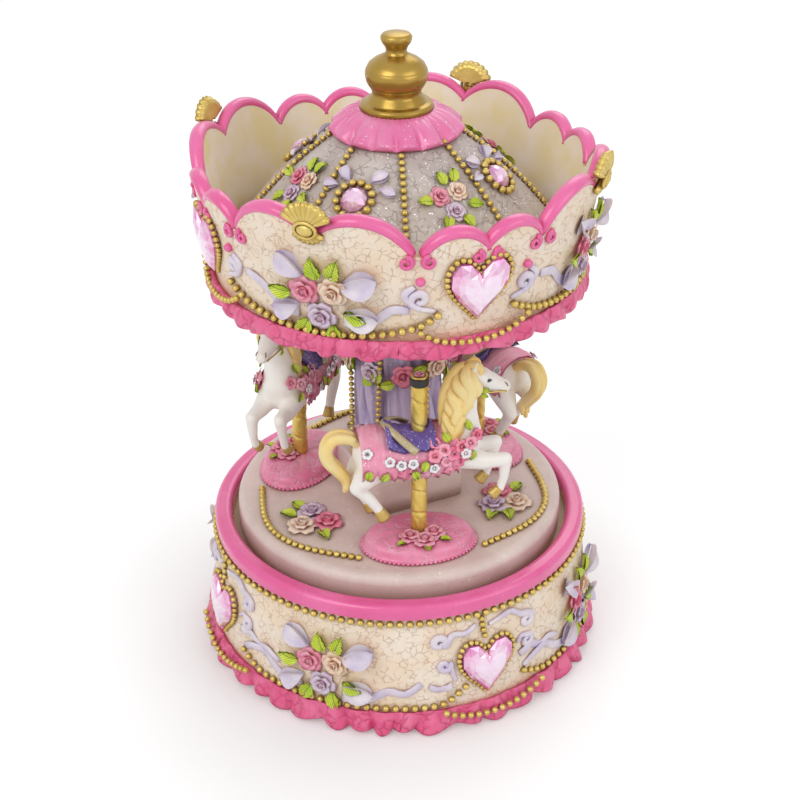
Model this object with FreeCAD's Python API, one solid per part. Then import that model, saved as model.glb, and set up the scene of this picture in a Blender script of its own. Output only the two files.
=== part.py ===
import FreeCAD, Part
import math
import os

# Carousel music box. Millimetres, +Z up, origin on the floor under the turning axis.
# Azimuths are in degrees about +Z, counted from the front (-Y) towards the right (+X).
V = FreeCAD.Vector
UP = V(0, 0, 1)
RIGHT = V(1, 0, 0)
ORIGIN = V(0, 0, 0)
os.makedirs("parts", exist_ok=True)

# Turntable and the well that it turns in
turntable_radius = 43.5
turntable_gap = 1.8
turntable_thickness = 8.0
turntable_skin = 3.0
turntable_edge_round = 2.5
turntable_lift = 1.3
turntable_hub_radius = 7.0
turntable_skirt = 3.5

# Base casting and its rim
rim_width = 4.7
rim_height = 3.8
rim_round = 1.6
rim_overhang = 0.8
wall_flare = 2.3
wall_belly = 0.9
base_height = 33.9
well_depth = 1.2
deck_thickness = 3.0
chamber_step = 0.8
plate_seat_width = 2.0
plate_seat_height = 13.0
plate_thickness = 2.0
plate_side_clearance = 0.2
boss_radius = 3.2
boss_inset = 4.2
boss_azimuths = (20.0, 160.0, 270.0)

# Pink ruffle hem round the base
hem_waves = 44
hem_height = 6.2
hem_lift = 0.4
hem_spread = 2.3
hem_wave_depth = 1.6
hem_top_stand = 0.9
hem_top_wave_depth = 0.5

# Bead strings
bead_radius = 0.95
bead_sink = 0.35
base_upper_bead_drop = 1.3
base_lower_bead_height = 7.6

# Ornament on the base wall, repeated every quarter turn
ornament_repeats = 4
bouquet_azimuth = -22.5
base_heart_azimuth = 25.1
base_bouquet_height = 18.5
base_heart_height = 17.0
base_heart_width = 13.0
base_heart_length = 14.5
gem_girdle = 1.6
gem_crown = 1.5
gem_table_share = 0.62
gem_sink = 1.0
rose_radius = 3.3
rose_sink = 1.0
leaf_length = 6.4
leaf_width = 3.6
leaf_belly_share = 0.45
leaf_thickness = 1.5
leaf_sink = 0.6

# Heart outline: places to the side in half widths, and upwards in lengths
heart_notch_up = 0.30
heart_lobe_side = 0.52
heart_lobe_up = 0.46
heart_shoulder_up = 0.16
heart_flank_side = 0.62
heart_flank_up = -0.22
heart_tip_up = -0.50

# Rose outline above its seat: (radius, height) in rose radii, from the outer petals to the bud
rose_petals = ((1.0, 0.20), (0.86, 0.50), (0.62, 0.34), (0.50, 0.66), (0.30, 0.50), (0.18, 0.78), (0.0, 0.72))
rose_foot_share = 0.80

# Bouquet: offsets to the right and upwards in rose radii, and the leaves' turns
rose_offsets = ((-1.15, 0.55), (0.95, 0.95), (0.35, -1.05))
leaf_offsets = ((0.3, 1.9, 75.0), (-2.1, 0.9, 160.0), (1.6, -1.5, -8.0))

# Centre column
column_foot_half_width = 13.0
column_foot_height = 10.0
column_foot_turn = 25.6
column_foot_round = 1.0
column_waist_radius = 10.6
column_top_radius = 14.5
column_flare_height = 14.0
column_folds = 12
column_fold_depth = 1.1

# Seats: plinth, pole and horse
seat_count = 3
first_seat_azimuth = 10.0
seat_circle_radius = 28.8
plinth_length = 29.5
plinth_width = 20.0
plinth_thickness = 3.9
plinth_round = 1.6
pole_radius = 2.0
pole_length = 48.9
pole_segment = 6.5
pole_groove_width = 0.7
pole_groove_depth = 0.25
pole_bore_radius = 1.35
pole_bore_depth = 8.0
turntable_bead_radius = 40.0
turntable_bead_half_span = 33.0
turntable_rose_circle = 27.0
turntable_rose_radius = 3.6
turntable_leaf_gap = 0.2

# Horse: chains of (forward, left, up, radius) stations, up counted from the turntable
horse_trunk = ((-10.5, 0, 28.2, 6.2), (-3.0, 0, 27.0, 5.9), (4.0, 0, 27.0, 5.9), (9.4, 0, 28.6, 5.7))
horse_neck = ((10.4, 0, 31.0, 4.9), (10.4, 0, 37.5, 4.0), (10.9, 0, 43.0, 3.6), (12.2, 0, 46.6, 3.1))
horse_head = ((12.6, 0, 47.0, 3.0), (15.2, 0, 46.4, 2.9), (18.6, 0, 44.8, 2.1), (20.9, 0, 43.8, 1.7))
horse_left_ear = ((13.0, 1.5, 49.2, 1.1), (13.8, 1.9, 52.0, 0.4))
horse_right_ear = ((13.0, -1.5, 49.2, 1.1), (13.8, -1.9, 52.0, 0.4))
horse_left_foreleg = (
    (9.5, 3.2, 26.8, 3.6), (15.8, 3.6, 25.2, 2.2), (20.3, 3.7, 25.8, 1.7), (16.9, 3.7, 15.5, 1.4))
horse_right_foreleg = (
    (9.5, -3.2, 27.2, 3.6), (15.5, -3.8, 25.2, 2.3), (20.9, -4.0, 25.3, 1.7), (18.7, -3.9, 15.8, 1.4))
horse_left_hindleg = (
    (-10.6, 3.0, 26.6, 4.6), (-14.8, 3.7, 22.2, 2.8), (-16.6, 3.7, 19.0, 1.9), (-11.9, 3.7, 10.4, 1.6))
horse_right_hindleg = (
    (-10.6, -3.0, 27.0, 4.6), (-14.4, -3.8, 23.4, 2.9), (-16.2, -3.9, 20.9, 1.9), (-10.2, -3.8, 12.4, 1.6))
horse_tail = (
    (-14.6, 0, 31.2, 1.8), (-18.2, 0, 33.3, 2.2), (-22.0, 0, 31.8, 2.4), (-22.6, 0, 27.2, 2.3),
    (-19.2, 0, 22.4, 1.9), (-18.3, 0, 17.8, 1.0))
limb_sides = 8
limb_tip_share = 0.55

# Canopy
canopy_clear_height = 63.0
ceiling_thickness = 3.0
crown_foot_radius = 45.2
crown_foot_height = 6.0
crown_wall = 3.0
crown_lip_radius = 50.8
crown_notch_height = 25.6
big_lobe_rise = 8.6
small_lobe_rise = 5.2
big_lobe_half_angle = 13.8
small_lobe_half_angle = 8.6
big_lobe_azimuths = (-34.0, -10.6)
small_lobe_azimuths = (15.6, 32.4)
frill_waves = 44
frill_height = 6.6
frill_drop = 0.6
frill_spread = 2.2
frill_wave_depth = 0.9
frill_top_stand = 1.5
frill_top_wave_depth = 0.4
crown_bouquet_azimuth = -21.8
crown_bouquet_height = 15.2
crown_heart_azimuth = 21.9
crown_heart_height = 16.2
crown_heart_width = 13.0
crown_heart_length = 14.5
shell_radius = 5.6
shell_ribs = 7
shell_thickness = 2.2
shell_height = 32.6
shell_sink = 1.2
shell_rib_swell = 1.18
shell_foot_share = 0.9

# Roof, collar and finial
roof_clearance = 0.4
roof_foot_height = 6.0
roof_rise = 31.7
roof_bulge = 2.6
roof_wall = 3.0
rib_count = 8
rib_azimuth = 3.5
rib_radius = 0.95
roof_gem_radius = 3.2
roof_gem_height = 2.2
bezel_width = 1.5
bezel_height = 1.6
roof_ornament_radius = 23.5
roof_rose_azimuth = 28.0
roof_rose_radius = 2.9
collar_radius = 16.0
collar_drop = 5.2
collar_waves = 24
collar_wave_depth = 0.8
collar_thickness = 1.6
collar_neck_radius = 8.9
finial_foot_radius = 8.8
finial_foot_height = 1.7
finial_ring_radius = 6.6
finial_ring_height = 1.4
finial_waist_radius = 5.8
finial_waist_height = 0.6
finial_bulb_radius = 7.4
finial_bulb_flatness = 0.62
finial_neck_radius = 2.6
finial_knob_radius = 3.7
finial_height = 18.2

# Drive: barrel, mainspring, shaft, bush, arbor and key
running_clearance = 0.05
bore_overrun = 1.0
bedplate_thickness = 1.5
bedplate_side_clearance = 1.0
bedplate_back = 17.0
bedplate_front = 41.0
bedplate_half_width = 24.0
barrel_lift = 1.2
barrel_radius = 12.0
barrel_wall = 0.8
barrel_floor = 1.2
barrel_height = 10.5
barrel_flange_thickness = 2.0
spring_turns = 7
spring_strip = 0.35
spring_pitch = 0.95
spring_edge_clearance = 0.3
shaft_radius = 2.5
shaft_socket_depth = 6.0
bush_radius = 5.0
bush_stand = 0.4
arbor_radius = 2.0
arbor_hub_radius = 3.0
arbor_hole_clearance = 1.0
key_floor_clearance = 1.5
key_plate_clearance = 0.6
key_boss_radius = 3.2
key_wing_radius = 4.0
key_wing_hole_radius = 1.9
key_wing_reach = 6.6
key_wing_thickness = 2.2

# Gear train: crown teeth on the barrel, cylinder pinion and wheel, governor wheel and worm
crown_teeth = 48
crown_face = 2.4
crown_gap = 0.7
pinion_teeth = 12
pinion_face = 1.3
cylinder_wheel_teeth = 24
governor_pinion_teeth = 12
train_module = 0.5
worm_wheel_teeth = 20
worm_module = 0.45
worm_pitch_radius = 1.6
wheel_face = 1.2
worm_wheel_face = 0.8
worm_thread_turns = 5
addendum_share = 0.75
dedendum_share = 1.05
tooth_share = 0.33
tooth_tip_share = 0.19
tooth_thinning = 0.75
crown_sink = 0.1
thread_sink = 0.15
axle_radius = 0.8
post_thickness = 1.2
post_half_width = 1.8
post_head = 2.0
note_count = 18
note_pitch = 0.84
drum_radius = 5.0
pin_length = 0.5
pin_radius = 0.15
pins_per_note = 4
pin_turn = 137.5
comb_tip_clearance = 0.15
comb_thickness = 0.8
comb_tooth_length = 9.5
comb_slot = 0.25
comb_back = 6.0
wheel_spacing = 0.9
fan_radius = 4.0
fan_height = 0.9
fan_thickness = 0.5
fan_lift = 0.3
bracket_arm_thickness = 0.8
bracket_post_width = 3.0

# Screws
screw_radius = 1.2
screw_head_radius = 2.3
screw_head_height = 1.2
screw_slot_half_width = 0.25
plate_screw_length = 9.0
movement_screw_length = 3.2
comb_screw_length = 5.0
comb_screw_inset = 3.0
movement_screw_places = ((-13.0, 11.0), (-13.0, -11.0), (12.0, -19.0), (12.0, 21.5))

# Heights and radii worked out from the values above
well_radius = turntable_radius + turntable_gap
rim_radius = well_radius + rim_width
wall_top_radius = rim_radius - rim_overhang
wall_foot_radius = wall_top_radius + wall_flare
chamber_radius = well_radius - chamber_step
plate_bore_radius = chamber_radius + plate_seat_width
deck_top = base_height - well_depth
deck_bottom = deck_top - deck_thickness
turntable_bottom = deck_top + turntable_lift
turntable_top = turntable_bottom + turntable_thickness
plate_bottom = plate_seat_height - plate_thickness
bedplate_top = plate_seat_height + bedplate_thickness
boss_circle = chamber_radius - boss_inset
ceiling_bottom = turntable_top + canopy_clear_height
ceiling_top = ceiling_bottom + ceiling_thickness
crown_foot_top = ceiling_bottom + crown_foot_height
crown_notch = ceiling_bottom + crown_notch_height
crown_top = crown_notch + big_lobe_rise + crown_wall
roof_radius = crown_foot_radius - crown_wall - roof_clearance
roof_eave = ceiling_top + roof_foot_height
roof_top = roof_eave + roof_rise
collar_top = roof_top + collar_thickness
collar_bottom = collar_top - collar_drop
seat_step = 360.0 / seat_count
quarter = 360.0 / ornament_repeats


def write(shape, node):
    """Write one sub-part and say how many solids it holds."""
    print(node, len(shape.Solids), round(shape.Volume, 2), shape.isValid())
    shape.exportStep("parts/" + node + ".step")


def ring_solid(points):
    """Turn a closed outline of (radius, height) points about the upright axis."""
    corners = [V(r, 0, z) for r, z in points]
    face = Part.Face(Part.makePolygon(corners + corners[:1]))
    return face.revolve(ORIGIN, UP, 360)


def cylinder(radius, low, high, x=0.0, y=0.0):
    """Upright cylinder between two heights."""
    return Part.makeCylinder(radius, high - low, V(x, y, low))


def rod(radius, start, end):
    """Straight round rod between two points."""
    along = end.sub(start)
    return Part.makeCylinder(radius, along.Length, start, along)


def block(low, high):
    """Box between two corners."""
    size = high.sub(low)
    return Part.makeBox(size.x, size.y, size.z, low)


def around(shape, azimuth):
    """Copy of a shape turned about the upright axis."""
    turned = shape.copy()
    turned.rotate(ORIGIN, UP, azimuth)
    return turned


def on_wall(shape, azimuth, radius, height, lean=0.0):
    """Stand a piece made facing the front at its place on a round wall."""
    placed = shape.copy()
    placed.rotate(ORIGIN, RIGHT, lean)
    placed.translate(V(0, -radius, height))
    return around(placed, azimuth)


def facing_out(shape, lean=0.0):
    """Turn a piece made pointing up so that it points out of the front."""
    turned = shape.copy()
    turned.rotate(ORIGIN, RIGHT, 90.0 - lean)
    return turned


def wavy_wire(radius, depth, waves, height):
    """Closed wave round the axis, with crests on the row's axes."""
    steps = waves * 4
    points = []
    for step in range(steps):
        angle = 2.0 * math.pi * step / steps
        reach = radius + depth * math.cos(waves * angle)
        points.append(V(reach * math.cos(angle), reach * math.sin(angle), height))
    curve = Part.BSplineCurve()
    curve.interpolate(Points=points, PeriodicFlag=True)
    return Part.Wire([curve.toShape()])


def frilled(low_radius, low_depth, low, top_radius, top_depth, high, waves):
    """Solid between two waves, the lower one deeper."""
    foot = wavy_wire(low_radius, low_depth, waves, low)
    top = wavy_wire(top_radius, top_depth, waves, high)
    return Part.makeLoft([foot, top], True, True)


def heart_wire(width, length, stand):
    """Heart outline in the upright plane, at a distance in front of the wall."""
    half = width / 2.0
    notch = V(0, -stand, length * heart_notch_up)
    lobe_top = V(half * heart_lobe_side, -stand, length * heart_lobe_up)
    side = V(half, -stand, length * heart_shoulder_up)
    flank = V(half * heart_flank_side, -stand, length * heart_flank_up)
    tip = V(0, -stand, length * heart_tip_up)
    mirror = [V(-p.x, p.y, p.z) for p in (lobe_top, side, flank)]
    edges = [
        Part.Arc(notch, lobe_top, side).toShape(),
        Part.Arc(side, flank, tip).toShape(),
        Part.Arc(tip, mirror[2], mirror[1]).toShape(),
        Part.Arc(mirror[1], mirror[0], notch).toShape(),
    ]
    return Part.Wire(edges)


def heart_gem(width, length):
    """Cut heart stone: straight girdle, sloping crown, flat table."""
    back = heart_wire(width, length, -gem_sink)
    edge = heart_wire(width, length, gem_girdle)
    table = heart_wire(width * gem_table_share, length * gem_table_share, gem_girdle + gem_crown)
    girdle = Part.makeLoft([back, edge], True, True)
    crown = Part.makeLoft([edge, table], True, True)
    return girdle.fuse(crown).removeSplitter()


def rose(radius):
    """Open rose seen as petal rings round a bud, pointing up."""
    rings = [(0.0, -rose_sink), (radius * rose_foot_share, -rose_sink)]
    rings += [(radius * reach, radius * rise) for reach, rise in rose_petals]
    return ring_solid(rings)


def leaf(length, turn):
    """Pointed leaf that lies flat, its tip along the given turn."""
    half = leaf_width / 2.0
    tail = V(0, 0, -leaf_sink)
    tip = V(length, 0, -leaf_sink)
    sides = [
        Part.Arc(tail, V(length * leaf_belly_share, half, -leaf_sink), tip).toShape(),
        Part.Arc(tip, V(length * leaf_belly_share, -half, -leaf_sink), tail).toShape(),
    ]
    blade = Part.Face(Part.Wire(sides)).extrude(V(0, 0, leaf_thickness))
    blade.rotate(ORIGIN, UP, turn)
    return blade


def bouquet_roses(radius):
    """Roses of one bouquet, lying flat."""
    blooms = []
    for right, up in rose_offsets:
        bloom = rose(radius)
        bloom.translate(V(right * radius, up * radius, 0))
        blooms.append(bloom)
    return blooms


def bouquet_leaves(radius):
    """Leaves of one bouquet, lying flat and clear of its roses."""
    blooms = Part.makeCompound(bouquet_roses(radius))
    blades = []
    for right, up, turn in leaf_offsets:
        blade = leaf(leaf_length, turn)
        blade.translate(V(right * radius, up * radius, 0))
        blades.append(blade.cut(blooms))
    return blades


def round_wall(pieces, azimuth, radius, height, lean, backing):
    """Put flat-lying pieces on a wall at every repeat, trimmed to it."""
    placed = []
    for repeat in range(ornament_repeats):
        for piece in pieces:
            standing = on_wall(facing_out(piece), azimuth + repeat * quarter, radius, height, lean)
            placed.append(standing.cut(backing))
    return Part.makeCompound(placed)


def gear(teeth, module, face, phase):
    """Spur gear lying flat, with a tooth at the phase angle."""
    pitch = teeth * module / 2.0
    tip = pitch + addendum_share * module
    root = pitch - dedendum_share * module
    step = 2.0 * math.pi / teeth
    flanks = ((root, -tooth_share), (tip, -tooth_tip_share), (tip, tooth_tip_share), (root, tooth_share))
    corners = []
    for tooth in range(teeth):
        middle = math.radians(phase) + tooth * step
        for reach, turn in flanks:
            angle = middle + turn * step * tooth_thinning
            corners.append(V(reach * math.cos(angle), reach * math.sin(angle), 0))
    outline = Part.makePolygon(corners + corners[:1])
    return Part.Face(outline).extrude(V(0, 0, face))


def lying_gear(teeth, module, face, start, y, z, phase):
    """Spur gear on an axle along +X, with a tooth at the phase angle from +Y towards +Z."""
    wheel = gear(teeth, module, face, phase)
    wheel.Placement = FreeCAD.Placement(V(start, y, z), FreeCAD.Rotation(V(1, 1, 1), 120))
    return wheel


def screw(length):
    """Pan-head screw pointing up, its head below the seat at height 0."""
    head = cylinder(screw_head_radius, -screw_head_height, 0)
    slot = block(
        V(-screw_head_radius, -screw_slot_half_width, -screw_head_height),
        V(screw_head_radius, screw_slot_half_width, -screw_head_height / 2.0))
    return head.cut(slot).fuse(cylinder(screw_radius, 0, length)).removeSplitter()


# Base casting: flared wall with a deck, a well for the turntable and bosses for the plate
belly_radius = (wall_foot_radius + wall_top_radius) / 2.0 + wall_belly
wall_foot = V(wall_foot_radius, 0, 0)
wall_middle = V(belly_radius, 0, base_height / 2.0)
wall_head = V(wall_top_radius, 0, base_height)
wall_line = [
    Part.Arc(wall_foot, wall_middle, wall_head).toShape(),
    Part.makeLine(wall_head, V(0, 0, base_height)),
    Part.makeLine(V(0, 0, base_height), ORIGIN),
    Part.makeLine(ORIGIN, wall_foot),
]
base_envelope = Part.Face(Part.Wire(wall_line)).revolve(ORIGIN, UP, 360)
shell = base_envelope.cut(cylinder(well_radius, deck_top, base_height))
shell = shell.cut(cylinder(chamber_radius, 0, deck_bottom))
shell = shell.cut(cylinder(plate_bore_radius, 0, plate_seat_height))
shell = shell.cut(cylinder(bush_radius, deck_bottom, deck_top))
plate_screw_end = plate_bottom + plate_screw_length
for azimuth in boss_azimuths:
    boss = around(cylinder(boss_radius, plate_seat_height, deck_bottom, 0, -boss_circle), azimuth)
    pilot = around(cylinder(screw_radius, plate_bottom, plate_screw_end, 0, -boss_circle), azimuth)
    shell = shell.fuse(boss).cut(pilot)
write(shell.removeSplitter(), "base_shell")


def wall_radius(height):
    """Outside radius of the base wall at a height, along its arc."""
    share = height / base_height
    straight = wall_foot_radius + (wall_top_radius - wall_foot_radius) * share
    return straight + 4.0 * wall_belly * share * (1.0 - share)


rim = ring_solid([
    (well_radius, base_height),
    (rim_radius, base_height),
    (rim_radius, base_height + rim_height),
    (well_radius, base_height + rim_height),
])
rim_edges = [edge for edge in rim.Edges if edge.BoundBox.ZMin > base_height + rim_height / 2.0]
write(rim.makeFillet(rim_round, rim_edges), "base_rim")

hem_top = hem_lift + hem_height
hem = frilled(
    wall_foot_radius + hem_spread, hem_wave_depth, hem_lift,
    wall_radius(hem_top) + hem_top_stand, hem_top_wave_depth, hem_top, hem_waves,
)
write(hem.cut(base_envelope), "base_ruffle")

upper_bead_height = base_height - base_upper_bead_drop
base_beads = []
for height in (upper_bead_height, base_lower_bead_height):
    string = Part.makeTorus(wall_radius(height) + bead_radius - bead_sink, bead_radius, V(0, 0, height))
    base_beads.append(string.cut(base_envelope))
write(Part.makeCompound(base_beads), "base_bead_strings")

base_gem = heart_gem(base_heart_width, base_heart_length)
base_gem_place = (wall_radius(base_heart_height), base_heart_height)
base_gems = []
for repeat in range(ornament_repeats):
    gem = on_wall(base_gem, base_heart_azimuth + repeat * quarter, *base_gem_place)
    base_gems.append(gem.cut(base_envelope))
write(Part.makeCompound(base_gems), "base_heart_gems")

base_bouquet = (bouquet_azimuth, wall_radius(base_bouquet_height), base_bouquet_height, 0.0)
write(round_wall(bouquet_roses(rose_radius), *base_bouquet, base_envelope), "base_roses")
write(round_wall(bouquet_leaves(rose_radius), *base_bouquet, base_envelope), "base_leaves")

# Bottom plate with its screws
plate = cylinder(plate_bore_radius - plate_side_clearance, plate_bottom, plate_seat_height)
plate = plate.cut(cylinder(arbor_radius + arbor_hole_clearance, plate_bottom, plate_seat_height))
plate_screws = []
for azimuth in boss_azimuths:
    clear_hole = cylinder(screw_radius, plate_bottom, plate_seat_height, 0, -boss_circle)
    plate = plate.cut(around(clear_hole, azimuth))
    fastener = screw(plate_screw_length)
    fastener.translate(V(0, -boss_circle, plate_bottom))
    plate_screws.append(around(fastener, azimuth))
movement_screws = []
for x, y in movement_screw_places:
    plate = plate.cut(cylinder(screw_radius, plate_bottom, plate_seat_height, x, y))
    fastener = screw(movement_screw_length)
    fastener.translate(V(x, y, plate_bottom))
    movement_screws.append(fastener)
write(plate, "bottom_plate")
write(Part.makeCompound(plate_screws), "plate_screws")
write(Part.makeCompound(movement_screws), "movement_screws")

# Gear train layout
crown_pitch_radius = barrel_radius + crown_gap + crown_face / 2.0
crown_module = 2.0 * crown_pitch_radius / crown_teeth
pinion_pitch_radius = pinion_teeth * crown_module / 2.0
barrel_bottom = bedplate_top + barrel_lift
barrel_top = barrel_bottom + barrel_height
crown_root = barrel_bottom + barrel_flange_thickness
crown_tip = crown_root + (addendum_share + dedendum_share) * crown_module
axle_height = crown_root + dedendum_share * crown_module + pinion_pitch_radius
drum_length = note_count * note_pitch
inner_post_start = crown_pitch_radius + crown_face / 2.0 + crown_gap
cylinder_start = inner_post_start + post_thickness + wheel_spacing
cylinder_end = cylinder_start + drum_length
wheel_start = cylinder_end + wheel_spacing
worm_wheel_start = wheel_start + wheel_face + wheel_spacing
outer_post_start = worm_wheel_start + worm_wheel_face + wheel_spacing
axle_end = outer_post_start + post_thickness
governor_axle_y = (cylinder_wheel_teeth + governor_pinion_teeth) * train_module / 2.0
governor_post_start = cylinder_end - post_thickness
worm_wheel_pitch_radius = worm_wheel_teeth * worm_module / 2.0
worm_x = worm_wheel_start + worm_wheel_face / 2.0
worm_y = governor_axle_y + worm_wheel_pitch_radius + worm_pitch_radius
comb_tip_y = -(drum_radius + pin_length + comb_tip_clearance)
comb_root_y = comb_tip_y - comb_tooth_length
comb_back_y = comb_root_y - comb_back
comb_bottom = axle_height - comb_thickness / 2.0
fan_bottom = axle_height + worm_wheel_pitch_radius + worm_module + fan_lift
fan_top = fan_bottom + fan_height
arm_bottom = fan_top + fan_lift
arm_top = arm_bottom + bracket_arm_thickness
bracket_y = worm_y + fan_radius + fan_lift

# Movement bedplate with its axle posts and the seat of the comb
bed = block(
    V(-bedplate_back, -bedplate_half_width, plate_seat_height),
    V(bedplate_front, bedplate_half_width, bedplate_top))
bed = bed.common(cylinder(chamber_radius - bedplate_side_clearance, plate_seat_height, bedplate_top))
post_top = axle_height + post_head
inner_post = block(
    V(inner_post_start, -post_half_width, bedplate_top),
    V(inner_post_start + post_thickness, post_half_width, post_top))
outer_post = block(
    V(outer_post_start, -post_half_width, bedplate_top),
    V(axle_end, governor_axle_y + post_half_width, post_top))
governor_post = block(
    V(governor_post_start, governor_axle_y - post_half_width, bedplate_top),
    V(cylinder_end, governor_axle_y + post_half_width, post_top))
comb_seat = block(V(cylinder_start, comb_back_y, bedplate_top), V(cylinder_end, comb_root_y, comb_bottom))
bed = bed.multiFuse([inner_post, outer_post, governor_post, comb_seat]).removeSplitter()
axle_bore = axle_radius + running_clearance
bore_end = axle_end + bore_overrun
bed = bed.cut(rod(axle_bore, V(0, 0, axle_height), V(bore_end, 0, axle_height)))
governor_bore_start = V(governor_post_start - bore_overrun, governor_axle_y, axle_height)
bed = bed.cut(rod(axle_bore, governor_bore_start, V(bore_end, governor_axle_y, axle_height)))
bed = bed.cut(cylinder(arbor_radius + running_clearance, plate_seat_height, bedplate_top))
bed = bed.cut(cylinder(axle_bore, plate_seat_height, bedplate_top, worm_x, worm_y))
for x, y in movement_screw_places:
    bed = bed.cut(cylinder(screw_radius, plate_seat_height, plate_bottom + movement_screw_length, x, y))
comb_screw_y = (comb_root_y + comb_back_y) / 2.0
comb_top = axle_height + comb_thickness / 2.0
comb_screws = []
comb = block(V(cylinder_start, comb_back_y, comb_bottom), V(cylinder_end, comb_root_y, comb_top))
for note in range(note_count):
    low = cylinder_start + note * note_pitch + comb_slot / 2.0
    high = cylinder_start + (note + 1) * note_pitch - comb_slot / 2.0
    comb = comb.fuse(block(V(low, comb_root_y, comb_bottom), V(high, comb_tip_y, comb_top)))
for x in (cylinder_start + comb_screw_inset, cylinder_end - comb_screw_inset):
    shank = cylinder(screw_radius, comb_top - comb_screw_length, comb_top, x, comb_screw_y)
    comb = comb.cut(shank)
    bed = bed.cut(shank)
    fastener = screw(comb_screw_length)
    fastener.rotate(ORIGIN, RIGHT, 180)
    fastener.translate(V(x, comb_screw_y, comb_top))
    comb_screws.append(fastener)
write(bed, "movement_bedplate")
write(comb.removeSplitter(), "comb")
write(Part.makeCompound(comb_screws), "comb_screws")

# Governor bracket: a post beside the fan with an arm over it
bracket_low = V(worm_x - bracket_post_width / 2.0, bracket_y, bedplate_top)
bracket = block(bracket_low, V(worm_x + bracket_post_width / 2.0, bracket_y + bracket_arm_thickness, arm_top))
arm = block(
    V(worm_x - bracket_post_width / 2.0, worm_y - bracket_post_width / 2.0, arm_bottom),
    V(worm_x + bracket_post_width / 2.0, bracket_y + bracket_arm_thickness, arm_top))
bracket = bracket.fuse(arm).removeSplitter()
bracket = bracket.cut(cylinder(axle_bore, arm_bottom, arm_top, worm_x, worm_y))
write(bracket, "governor_bracket")

# Bush that carries the drive shaft in the deck
bush = cylinder(bush_radius, deck_bottom, deck_top + bush_stand)
bush = bush.cut(cylinder(shaft_radius + running_clearance, deck_bottom, deck_top + bush_stand))
write(bush, "shaft_bush")

# Spring barrel with crown teeth, its cap, the mainspring and the drive shaft
flange_radius = crown_pitch_radius + crown_face / 2.0
barrel = cylinder(barrel_radius, barrel_bottom, barrel_top)
barrel = barrel.fuse(cylinder(flange_radius, barrel_bottom, crown_root))
barrel = barrel.cut(cylinder(barrel_radius - barrel_wall, barrel_bottom + barrel_floor, barrel_top))
barrel = barrel.cut(cylinder(arbor_radius + running_clearance, barrel_bottom, barrel_bottom + barrel_floor))
crown_step = 2.0 * math.pi * crown_pitch_radius / crown_teeth
tooth_foot = crown_step * tooth_share * tooth_thinning
tooth_tip = crown_step * tooth_tip_share * tooth_thinning
tooth_inner = crown_pitch_radius - crown_face / 2.0
tooth_corners = [
    V(tooth_inner, -tooth_foot, crown_root - crown_sink),
    V(tooth_inner, tooth_foot, crown_root - crown_sink),
    V(tooth_inner, tooth_tip, crown_tip),
    V(tooth_inner, -tooth_tip, crown_tip),
]
crown_tooth = Part.Face(Part.makePolygon(tooth_corners + tooth_corners[:1])).extrude(V(crown_face, 0, 0))
crown_tooth_set = [around(crown_tooth, (tooth + 0.5) * 360.0 / crown_teeth) for tooth in range(crown_teeth)]
barrel = barrel.multiFuse(crown_tooth_set).removeSplitter()
flange_limit = cylinder(flange_radius, barrel_bottom, barrel_top)
write(barrel.common(flange_limit), "spring_barrel")

cap = cylinder(barrel_radius - barrel_wall, barrel_top - barrel_floor, barrel_top)
write(cap.cut(cylinder(shaft_radius, barrel_top - barrel_floor, barrel_top)), "barrel_cap")

spring_low = barrel_bottom + barrel_floor + spring_edge_clearance
spring_high = barrel_top - barrel_floor - spring_edge_clearance
spring_outer = barrel_radius - barrel_wall
strip_edges = []
for side in (0.0, spring_strip):
    chain = []
    for half in range(2 * spring_turns):
        facing = 1.0 if half % 2 == 0 else -1.0
        start = spring_outer - side - spring_pitch * half / 2.0
        end = start - spring_pitch / 2.0
        first = V(facing * start, 0, spring_low)
        last = V(-facing * end, 0, spring_low)
        middle_x = (first.x + last.x) / 2.0
        crest = V(middle_x, facing * (start + end) / 2.0, spring_low)
        chain.append(Part.Arc(first, crest, last).toShape())
    strip_edges.append(chain)
outer_chain, inner_chain = strip_edges
head = Part.makeLine(inner_chain[0].Vertexes[0].Point, outer_chain[0].Vertexes[0].Point)
tail = Part.makeLine(outer_chain[-1].Vertexes[-1].Point, inner_chain[-1].Vertexes[-1].Point)
strip = Part.Wire(Part.__sortEdges__(outer_chain + [tail] + inner_chain + [head]))
write(Part.Face(strip).extrude(V(0, 0, spring_high - spring_low)), "mainspring")

shaft_top = turntable_bottom + shaft_socket_depth
write(cylinder(shaft_radius, barrel_top - barrel_floor, shaft_top), "drive_shaft")

# Winding arbor and the butterfly key under the plate
key_top = plate_bottom - screw_head_height - key_plate_clearance
wing_height = key_floor_clearance + key_wing_radius
arbor_top = barrel_top - barrel_floor - spring_edge_clearance
arbor = cylinder(arbor_radius, wing_height, arbor_top)
hub = cylinder(arbor_hub_radius, spring_low, arbor_top)
write(arbor.fuse(hub).removeSplitter(), "winding_arbor")
key = cylinder(key_boss_radius, key_floor_clearance, key_top)
for side in (-1.0, 1.0):
    centre = V(side * key_wing_reach, -key_wing_thickness / 2.0, wing_height)
    wing = Part.makeCylinder(key_wing_radius, key_wing_thickness, centre, V(0, 1, 0))
    web = block(
        V(min(0, centre.x), -key_wing_thickness / 2.0, wing_height - key_wing_radius / 2.0),
        V(max(0, centre.x), key_wing_thickness / 2.0, wing_height + key_wing_radius / 2.0))
    hole = Part.makeCylinder(key_wing_hole_radius, key_wing_thickness, centre, V(0, 1, 0))
    key = key.fuse(wing).fuse(web).cut(hole)
key = key.cut(cylinder(arbor_radius, wing_height, key_top))
write(key.removeSplitter(), "winding_key")

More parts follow.
